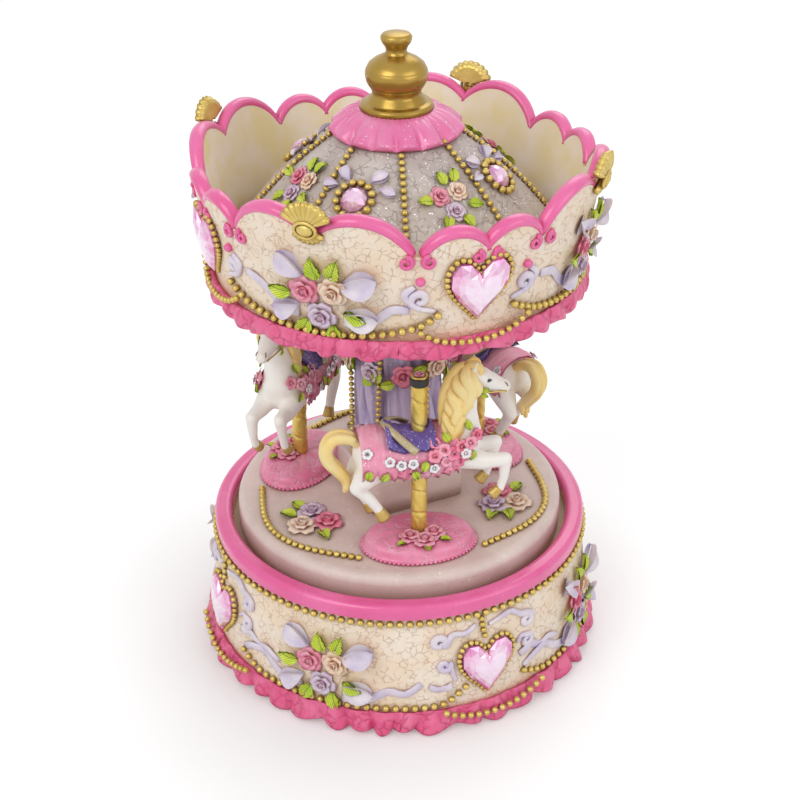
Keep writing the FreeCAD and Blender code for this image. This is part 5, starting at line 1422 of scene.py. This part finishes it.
def place_pole(u, v):
    inside = v > 0.86
    height = np.where(inside, POLE_LONG - 8.0 * (v - 0.88) / 0.12, POLE_LONG * np.clip(v / 0.86, 0, 1))
    height = np.minimum(height, POLE_LONG)
    slant = 0.8 * np.sin(TURN * u + 0.3 * np.floor(height / SCORE_PITCH))
    gap = np.abs((height + slant - 3.0) % SCORE_PITCH - SCORE_PITCH / 2) - SCORE_PITCH / 2
    groove = 0.26 * np.exp(-(gap / 0.28) ** 2)
    hammer = 0.05 * np.sin(5 * TURN * u + height * 1.7)
    radius = np.where(inside, POLE_BORE, POLE_RADIUS - groove + hammer)
    radius = np.where(v > 0.995, 0.0, radius)
    return radius * np.cos(TURN * u), radius * np.sin(TURN * u), height


pole = wrapped("pole_model", 28, 200, place_pole)
cap_outline = [(0, -2.6), (2.15, -2.6), (2.4, -2.2), (2.2, -1.7), (2.4, -1.1), (2.1, -0.5), (0, -0.4)]
pole_cap = turned("cap_model", [(radius, height + POLE_LONG) for radius, height in cap_outline], 28)
for name, azimuth in SEATS:
    place = seat_of_horse(azimuth)
    dressed(copied("pole_gilt_" + name, pole, [place]), pole_gold, "carousel", "gold_pole", "pole_" + name)
    dressed(copied("pole_cap_" + name, pole_cap, [place]), plastic_black, "carousel", "black_plastic")
    top = place @ flat_seat((0, 0, POLE_LONG - 0.6), 1.7)
    dressed(copied("pole_bud_" + name, rose, [top], [BLUSH]), petal_paint, "carousel", "rose_resin")
put_away(pole)
put_away(pole_cap)

# %% [markdown]
# ## The horses
# Three prancing horses, cast from one mould. The coat is built like a clay figure: rolled limbs are
# laid together, melted into one skin with a voxel remesh and smoothed. Mane and tail are fluted
# locks, and the blanket, saddle and garland are laid over the finished body. All of it is made once
# in the horse's own frame (forward, inwards, up) and copied to the three seats.

# %% Limbs of clay
def roll_of_clay(start, end):
    """A rounded, tapering roll between two (forward, inwards, up, radius) stations."""
    first, last = np.array(start[:3], float), np.array(end[:3], float)
    along = last - first
    long = np.linalg.norm(along)
    along = along / long
    side = np.cross(along, (0, 1, 0.05))
    side /= np.linalg.norm(side)
    other = np.cross(along, side)

    def place(u, v):
        tilt = math.pi * (v - 0.5)
        near = v < 0.5
        radius = np.where(near, start[3], end[3])
        middle = np.where(near[:, None], first, last)
        reach = (radius * np.cos(tilt))[:, None]
        turn = TURN * u
        spot = middle + along * (radius * np.sin(tilt))[:, None]
        spot = spot + reach * (side * np.cos(turn)[:, None] + other * np.sin(turn)[:, None])
        return spot[:, 0], spot[:, 1], spot[:, 2]

    return wrapped("clay", 14, 11, place)


horse_chains = (
    ((-10.5, 0, 28.2, 6.2), (-3, 0, 27.0, 5.9), (4, 0, 27.0, 5.9), (9.4, 0, 28.6, 5.7), (10.8, 0, 31.5, 4.9)),
    ((10.8, 0, 31.5, 4.9), (10.4, 0, 37.5, 4.0), (10.9, 0, 43.0, 3.5), (12.4, 0, 47.0, 3.1)),
    ((12.4, 0, 47.2, 3.0), (15.2, 0, 46.4, 2.9), (18.6, 0, 44.8, 2.1), (20.9, 0, 43.8, 1.7)),
    ((14.2, 1.0, 44.6, 2.0), (15.0, -1.0, 44.6, 2.0)),
    ((13.0, 1.5, 49.2, 1.05), (13.8, 1.9, 52.0, 0.35)),
    ((13.0, -1.5, 49.2, 1.05), (13.8, -1.9, 52.0, 0.35)),
    ((9.5, -3.2, 27.2, 3.6), (15.5, -3.8, 25.2, 2.3), (20.9, -4.0, 25.3, 1.75), (20.6, -4.0, 19.8, 1.2),
     (19.7, -3.9, 16.6, 1.15)),
    ((9.5, 3.2, 26.8, 3.6), (15.8, 3.6, 25.2, 2.2), (20.3, 3.7, 25.8, 1.7), (18.9, 3.7, 19.8, 1.2),
     (17.9, 3.7, 16.6, 1.15)),
    ((-10.6, -3.0, 27.0, 4.6), (-14.4, -3.8, 23.4, 2.9), (-16.2, -3.9, 20.9, 1.9), (-12.8, -3.9, 17.0, 1.45),
     (-10.8, -3.8, 13.8, 1.3)),
    ((-10.6, 3.0, 26.6, 4.6), (-14.8, 3.7, 22.2, 2.8), (-16.6, 3.7, 19.0, 1.85), (-14.2, 3.7, 14.6, 1.45),
     (-12.5, 3.7, 11.6, 1.3)),
)
clay = []
for chain in horse_chains:
    clay += [roll_of_clay(start, end) for start, end in zip(chain[:-1], chain[1:])]
coat = joined("coat_model", clay)
pick(coat)
bpy.ops.object.modifier_add(type="REMESH")
coat.modifiers[-1].mode = "VOXEL"
coat.modifiers[-1].voxel_size = 0.40 * MM
bpy.ops.object.modifier_apply(modifier=coat.modifiers[-1].name)
bpy.ops.object.modifier_add(type="SMOOTH")
coat.modifiers[-1].factor = 0.5
coat.modifiers[-1].iterations = 9
bpy.ops.object.modifier_apply(modifier=coat.modifiers[-1].name)
bpy.ops.object.shade_smooth()
count(coat)

# %% Mane, tail and hooves
def lock(points, wide, thick, count_points=16):
    """A fluted lock of hair: a swept band that swells and ends in a point."""
    path = smooth_path(points, count_points)
    share = np.linspace(0, 1, count_points)
    swell = np.sin(math.pi * np.clip(share * 0.86 + 0.14, 0, 1)) ** 0.7
    outs = [(0, point[1] if abs(point[1]) > 0.3 else 0.0, 0.6) for point in path]
    return swept("lock", path, outs, wide * swell + 0.12, thick * swell + 0.12, 8)


hair = []
crest = ((11.2, 50.2), (9.2, 48.2), (8.0, 45.4), (7.3, 42.4), (6.9, 39.4), (6.7, 36.6))
for side in (-1, 1):
    for step, (x, z) in enumerate(crest):
        sway = 0.9 if step % 2 else -0.2
        hair.append(lock([(x + 0.8, side * 0.4, z + 0.4), (x - 0.4, side * 2.6, z - 1.6),
                          (x + 1.2 + sway, side * 3.9, z - 4.8),
                          (x + 0.2 + sway, side * 4.3, z - 7.8), (x + 1.2, side * 4.5, z - 9.2)], 1.5, 0.8))
        hair.append(lock([(x + 1.6, side * 1.2, z - 0.2), (x + 1.5, side * 3.3, z - 2.6),
                          (x + 2.4 - sway, side * 3.9, z - 4.6),
                          (x + 2.0, side * 4.1, z - 6.8)], 1.1, 0.7))
    hair.append(lock([(11.6, side * 0.3, 50.6), (13.4, side * 1.4, 50.9), (14.6, side * 1.6, 49.6),
                      (14.4, side * 2.2, 48.0)], 1.0, 0.6))
hair.append(lock([(11.0, 0, 50.6), (9.0, 0.2, 49.0), (6.9, 0, 45.2), (5.9, -0.2, 41.0), (5.6, 0, 36.6),
                  (5.0, 0, 34.2)], 1.5, 1.3, 24))
tail_line = ((-14.6, 31.2), (-17.6, 33.2), (-21.0, 33.3), (-23.0, 30.4),
             (-22.4, 26.8), (-19.9, 23.4), (-18.2, 20.6), (-18.4, 17.6))
for shift, wide, lift in ((-1.25, 1.15, 0.0), (0.0, 1.3, 0.25), (1.25, 1.15, 0.0)):
    strand = [(x - lift, shift * (1.0 - 0.03 * step), z + 0.15 * step * (shift != 0))
              for step, (x, z) in enumerate(tail_line)]
    path = smooth_path(strand, 36)
    share = np.linspace(0, 1, len(path))
    swell = np.clip(np.sin(math.pi * (0.16 + 0.78 * share)) ** 0.6, 0.12, 1)
    hair.append(swept("lock", path, [(0, 1, 0)] * len(path), 1.55 * swell, wide * swell, 10))
mane = joined("mane_model", hair)
hoof_steps = (((19.7, -3.9, 16.9, 1.2), (17.7, -3.9, 14.9, 1.55)),
              ((17.9, 3.7, 16.9, 1.2), (16.1, 3.7, 14.6, 1.55)),
              ((-10.9, -3.8, 14.0, 1.35), (-9.6, -3.8, 11.2, 1.75)),
              ((-12.6, 3.7, 11.8, 1.35), (-11.5, 3.7, 9.2, 1.75)))
hoof_parts = []
for start, end in hoof_steps:
    line = np.linspace(start[:3], end[:3], 6)
    grow = np.linspace(start[3], end[3], len(line)) * 1.02
    hoof_parts.append(swept("hoof", line, [(0, 1, 0)] * len(line), grow, grow * 0.95, 12))
hooves = joined("hoof_model", hoof_parts)

# %% Blanket and saddle
def cloth(name, back, front, half_turn, wide, tall, lift, hem, steps=44):
    """A cloth over the horse's back: a strip across it, with a front side and a back side."""
    def place(u, v):
        x = back + (front - back) * u
        t = np.where(v <= 0.5, v * 2, 2 - 2 * v)
        inner = np.where(v > 0.5, 0.55, 0.0) * np.sin(math.pi * t) ** 0.3
        angle = (2 * t - 1) * math.radians(half_turn)
        edge = np.abs(2 * t - 1) ** 6
        wave = hem * edge * np.sin(x * 2.3) + 0.5 * hem * edge * np.sin(x * 5.1 + 1.0)
        middle = 27.0 + 1.3 * np.exp(-((x + 11.5) / 4.5) ** 2) + 1.4 * np.clip((x - 4) / 6.0, 0, 1)
        reach_y = wide + 0.9 * np.exp(-((x + 11) / 5.0) ** 2) + 0.5 * np.exp(-((x - 9) / 3.0) ** 2) - inner
        reach_z = tall - inner + lift(x)
        pucker = 0.2 * np.sin(x * 2.7 + angle * 6) * np.sin(x * 1.1 - angle * 9) * (1 - edge)
        across = (reach_y + wave + pucker) * np.sin(angle)
        up = middle + (reach_z + pucker) * np.cos(angle) - 0.4 * wave
        return x, across, up

    return wrapped(name, steps, 36, place)


def saddle_lift(x):
    """How far the saddle rises above the blanket: highest at its cantle, lower at its pommel."""
    return 1.9 * np.exp(-((x + 8.2) / 1.5) ** 2) + 1.3 * np.exp(-((x - 2.6) / 1.3) ** 2)


blanket = cloth("blanket_model", -15.2, 8.6, 122, 7.1, 6.75, lambda x: 0 * x, 0.6)
saddle = cloth("saddle_model", -8.8, 3.4, 56, 7.6, 7.35, saddle_lift, 0.2, 30)
trim_angles = np.radians(np.linspace(-60, 60, 40))
trim_x = -8.7 + 6.8 * (np.abs(trim_angles) / trim_angles.max()) ** 1.5
trim_path = np.stack((trim_x, 8.6 * np.sin(trim_angles),
                      27.4 + (8.0 + 1.0 * np.cos(trim_angles)) * np.cos(trim_angles)), axis=1)
trim_outs = np.stack((0 * trim_x, np.sin(trim_angles), np.cos(trim_angles)), axis=1)
trim = swept("trim_model", trim_path, trim_outs, 1.0, 0.5, 10)
trim_glitter = paint("trim_glitter", colour(170, 146, 92), colour(196, 178, 132), colour(84, 66, 36),
                     rough=0.3, flakes=(3600.0, 0.35, colour(226, 226, 232)))

# %% Garland, leaves, eyes and bridle
tiny_petals = [wrapped("petal", 9, 2, bud)]
for step in range(5):
    tiny_petals.append(petal("petal", TURN * step / 5, 0.8, 0.25, 0.95, 0.5, 0.15))
tiny_rose = joined("tiny_rose_model", tiny_petals)


def body_seat(x, z, side, size, roll=0.0, sink=0.2):
    """A seat on the flank of the horse at a place seen from its side."""
    middle = 27.6 + 3.4 * np.clip((x - 8) / 4.0, 0, 1)
    wide = 7.0 - 0.35 * max(0.0, x - 9.5) ** 1.5
    share = np.clip((z - middle) / 7.4, -0.98, 0.98)
    y = side * wide * math.sqrt(1 - share * share)
    out = np.array((0.10 * max(0, x - 8), y / wide, share * 1.1))
    out /= np.linalg.norm(out)
    ahead = np.cross((0, 0, 1.0), out)
    ahead /= np.linalg.norm(ahead)
    up = np.cross(out, ahead)
    return seat(ahead, up, out, np.array((x, y, z)), size, roll=roll, stand=-sink)


garland = ((2.6, 29.8, 1.5), (5.0, 31.0, 1.4), (7.2, 30.0, 1.55), (9.3, 31.6, 1.5),
           (11.4, 32.2, 1.5), (13.4, 33.2, 1.4), (3.0, 32.4, 1.2), (5.4, 28.2, 1.2),
           (8.6, 28.0, 1.2), (0.6, 27.2, 1.1), (-2.4, 26.6, 1.1), (-5.2, 27.2, 1.1),
           (-7.8, 28.4, 1.15), (-10.6, 29.6, 1.15), (-13.2, 30.8, 1.1), (-4.0, 24.6, 1.0),
           (-0.6, 24.4, 1.0), (3.0, 24.6, 1.0), (6.2, 25.6, 1.05), (-8.0, 25.6, 1.0),
           (-11.6, 27.4, 1.0), (10.6, 29.4, 1.2))
garland_leaves = ((11.3, 35.0, 8), (0.3, 28.9, 160), (-2.6, 26.8, 200), (11.9, 30.2, 170),
                  (-13.6, 28.0, 170), (6.2, 32.4, 30), (-9.2, 27.0, 150))
sequin_spots = ((-2.9, 28.7), (-8.6, 29.6), (-13.9, 31.6), (2.3, 27.1), (9.9, 30.2), (-5.8, 28.6))
rose_seats, rose_tints, leaf_seats, sequin_seats = [], [], [], []
garland_tints = (colour(250, 142, 172), colour(253, 172, 194), colour(246, 118, 158))
for side in (-1, 1):
    for number, (x, z, size) in enumerate(garland):
        rose_seats.append(body_seat(x, z, side, 1.2 * size, roll=47 * number))
        rose_tints.append(garland_tints[number % 3])
    leaf_seats += [body_seat(x, z, side, 3.0, roll=roll, sink=-0.4) for x, z, roll in garland_leaves]
    sequin_seats += [body_seat(x, z, side, 1.35, roll=31 * x, sink=-0.5) for x, z in sequin_spots]
    rose_seats.append(seat((1, 0, 0), (0, 0, 1), (0, side, 0), (13.4, side * 2.6, 45.0), 1.2))
    rose_tints.append(colour(246, 176, 176))
    leaf_seats.append(seat((1, 0, 0), (0, 0, 1), (0, side, 0), (14.6, side * 2.7, 44.6), 2.2, roll=-80))
    leaf_seats.append(seat((1, 0, 0), (0, 0, 1), (0, side, 0), (14.8, side * 2.7, 43.6), 2.0, roll=-120))
sequin_white = paint("sequin_white", colour(250, 248, 250), colour(255, 255, 255), colour(200, 196, 206),
                     rough=0.15, coat=0.6)
eye_marks = []
lid = np.array((0.1, 0.22, 0.34, 0.42, 0.46, 0.42, 0.34, 0.22, 0.1))
for side in (-1, 1):
    eye_line = smooth_path([(15.9, side * 2.35, 46.5), (16.6, side * 2.45, 46.9), (17.3, side * 2.2, 46.9)],
                           len(lid))
    eye_marks.append(swept("mark", eye_line, [(0, side, 0)] * len(lid), lid, 0.22, 6))
eyes = joined("eye_model", eye_marks)
nose_marks, rein_marks = [], []
for side in (-1, 1):
    nose_line = smooth_path([(20.7, side * 0.9, 45.3), (21.3, side * 1.3, 45.0), (21.6, side * 1.35, 44.3)],
                            9)
    nose_marks.append(swept("mark", nose_line, [(0.5, side, 0.3)] * len(nose_line), 0.16, 0.14, 6))
    rein_line = smooth_path([(14.6, side * 2.9, 44.0), (17.0, side * 2.35, 43.6),
                             (19.3, side * 1.85, 43.3), (21.2, side * 1.5, 43.0)], 14)
    rein_marks.append(swept("mark", rein_line, [(0, side, 0)] * len(rein_line), 0.22, 0.2, 6))
nostrils = joined("nostril_model", nose_marks)
bridle = joined("bridle_model", rein_marks)

# %% Three horses to their seats
garland_roses = copied("garland_model", tiny_rose, rose_seats, rose_tints)
garland_leaf = copied("garland_leaf_model", leaf, leaf_seats)
sequins = copied("sequins_model", tiny_rose, sequin_seats)
outfit = (
    ("horse_coat_", coat, horse_ivory, "horse_resin"),
    ("horse_mane_", mane, mane_gold, "horse_resin"),
    ("horse_hooves_", hooves, hoof_paint, "horse_resin"),
    ("horse_blanket_", blanket, cloth_pink, "pink_resin"),
    ("horse_saddle_", saddle, saddle_purple, "lilac_resin"),
    ("saddle_trim_", trim, trim_glitter, "gold_trim"),
    ("horse_garland_", garland_roses, petal_paint, "rose_resin"),
    ("horse_leaves_", garland_leaf, leaf_paint, "leaf_resin"),
    ("horse_sequins_", sequins, sequin_white, "gem_acrylic"),
    ("horse_eyes_", eyes, eye_black, "horse_resin"),
    ("horse_nostrils_", nostrils, nose_brown, "horse_resin"),
    ("horse_bridle_", bridle, gold_bead, "gold_trim"),
)
for name, azimuth in SEATS:
    for label, model, material, slot_name in outfit:
        made = copied(label + name, model, [seat_of_horse(azimuth)])
        stands_for = ["horse_" + name] if label == "horse_coat_" else []
        dressed(made, material, "carousel", slot_name, *stands_for)
for model in [row[1] for row in outfit] + [tiny_rose, rose, leaf, bead]:
    put_away(model)

# %% [markdown]
# ## The table top, the light and the camera
# The ornament stands on a white sweep. To the camera and to reflections the floor glows at nearly
# white, and the glow is turned down round the foot of the ornament as a painted shadow, a little
# off to the left and front; to all other light it is plain paper.
# Three large soft lamps and a pale sky stand in for a photographer's light tent.

# %% White floor and sky
SEEN_BY = ("Is Camera Ray", "Is Glossy Ray", "Is Transmission Ray")


def seen_share(tree):
    """One where the background is looked at, nought where it only gives light."""
    path = node(tree, "ShaderNodeLightPath")
    share = path.outputs[SEEN_BY[0]]
    for ray in SEEN_BY[1:]:
        share = sum_of(tree, "MAXIMUM", share, path.outputs[ray])
    return share


put_down_all()
bpy.ops.mesh.primitive_grid_add(x_subdivisions=4, y_subdivisions=4, size=8.0)
floor = named("floor")
floor_paper = bpy.data.materials.new("floor_paper")
floor_paper.use_nodes = True
tree = floor_paper.node_tree
tree.nodes.remove(tree.nodes["Principled BSDF"])
paper = node(tree, "ShaderNodeBsdfDiffuse")
paper.inputs["Color"].default_value = (0.8, 0.8, 0.8, 1)
dim_paper = node(tree, "ShaderNodeBsdfDiffuse")
dim_paper.inputs["Color"].default_value = (0.80, 0.80, 0.805, 1)
glow_with_painted_shadow = node(tree, "ShaderNodeEmission")
# Painted shadow: the floor's glow is weaker near the foot of the ornament, so a soft shadow shows there.
painted_shadow_distance = node(tree, "ShaderNodeVectorMath", operation="DISTANCE")
feed(tree, node(tree, "ShaderNodeTexCoord").outputs["Object"], painted_shadow_distance.inputs[0])
painted_shadow_distance.inputs[1].default_value = (-0.008, -0.012, 0)
feed(tree, spread(tree, painted_shadow_distance.outputs["Value"], 0.045, 0.095, 0.22, 0.44), glow_with_painted_shadow.inputs["Strength"])
shown = node(tree, "ShaderNodeAddShader")
feed(tree, dim_paper.outputs[0], shown.inputs[0])
feed(tree, glow_with_painted_shadow.outputs[0], shown.inputs[1])
choice = node(tree, "ShaderNodeMixShader")
feed(tree, seen_share(tree), choice.inputs[0])
feed(tree, paper.outputs[0], choice.inputs[1])
feed(tree, shown.outputs[0], choice.inputs[2])
feed(tree, choice.outputs[0], tree.nodes["Material Output"].inputs["Surface"])
floor.data.materials.append(floor_paper)

sky = bpy.data.worlds.new("studio_sky")
bpy.context.scene.world = sky
sky.use_nodes = True
tree = sky.node_tree
sky_light = tree.nodes["Background"]
sky_light.inputs["Color"].default_value = (1, 1, 1, 1)
sky_light.inputs["Strength"].default_value = 0.5
sky_seen = node(tree, "ShaderNodeBackground")
sky_seen.inputs["Color"].default_value = (1, 1, 1, 1)
choice = node(tree, "ShaderNodeMixShader")
feed(tree, seen_share(tree), choice.inputs[0])
feed(tree, sky_light.outputs[0], choice.inputs[1])
feed(tree, sky_seen.outputs[0], choice.inputs[2])
feed(tree, choice.outputs[0], tree.nodes["World Output"].inputs["Surface"])
print("floor and sky are in place")

# %% Three soft lamps
lamp_aim = Vector((0, 0, 0.08))
lamps = (
    ("key_lamp", (-0.50, -0.62, 0.72), 0.60, 3.4),
    ("fill_lamp", (0.62, -0.46, 0.48), 0.60, 1.6),
    ("back_lamp", (0.15, 0.62, 0.70), 0.50, 1.3),
)
for lamp_name, spot, size, watts in lamps:
    put_down_all()
    bpy.ops.object.light_add(type="AREA", location=spot)
    lamp = named(lamp_name)
    lamp.data.shape = "SQUARE"
    lamp.data.size = size
    lamp.data.energy = watts
    lamp.rotation_euler = (lamp_aim - Vector(spot)).to_track_quat("-Z", "Y").to_euler()
print(len(lamps), "lamps")

# %% The camera
put_down_all()
bpy.ops.object.camera_add()
camera = named("photo_camera")
camera_height = math.radians(30.097)
camera_pan = math.radians(0.057)
camera_roll = math.radians(-0.348)
camera_distance = 0.39446
look_at = Vector((0, 0, 0.06754))
away = Vector((0, -math.cos(camera_height), math.sin(camera_height)))
turned_to = (Matrix.Rotation(math.pi / 2 - camera_height, 4, "X")
             @ Matrix.Rotation(-camera_pan, 4, "Y") @ Matrix.Rotation(camera_roll, 4, "Z"))
camera.matrix_world = Matrix.Translation(look_at + away * camera_distance) @ turned_to
camera.data.sensor_width = 36.0
camera.data.lens = 67.5
camera.data.clip_start = 0.01
bpy.context.scene.camera = camera
bpy.context.scene.view_settings.view_transform = "Standard"
print("camera at", tuple(round(value, 4) for value in camera.location))
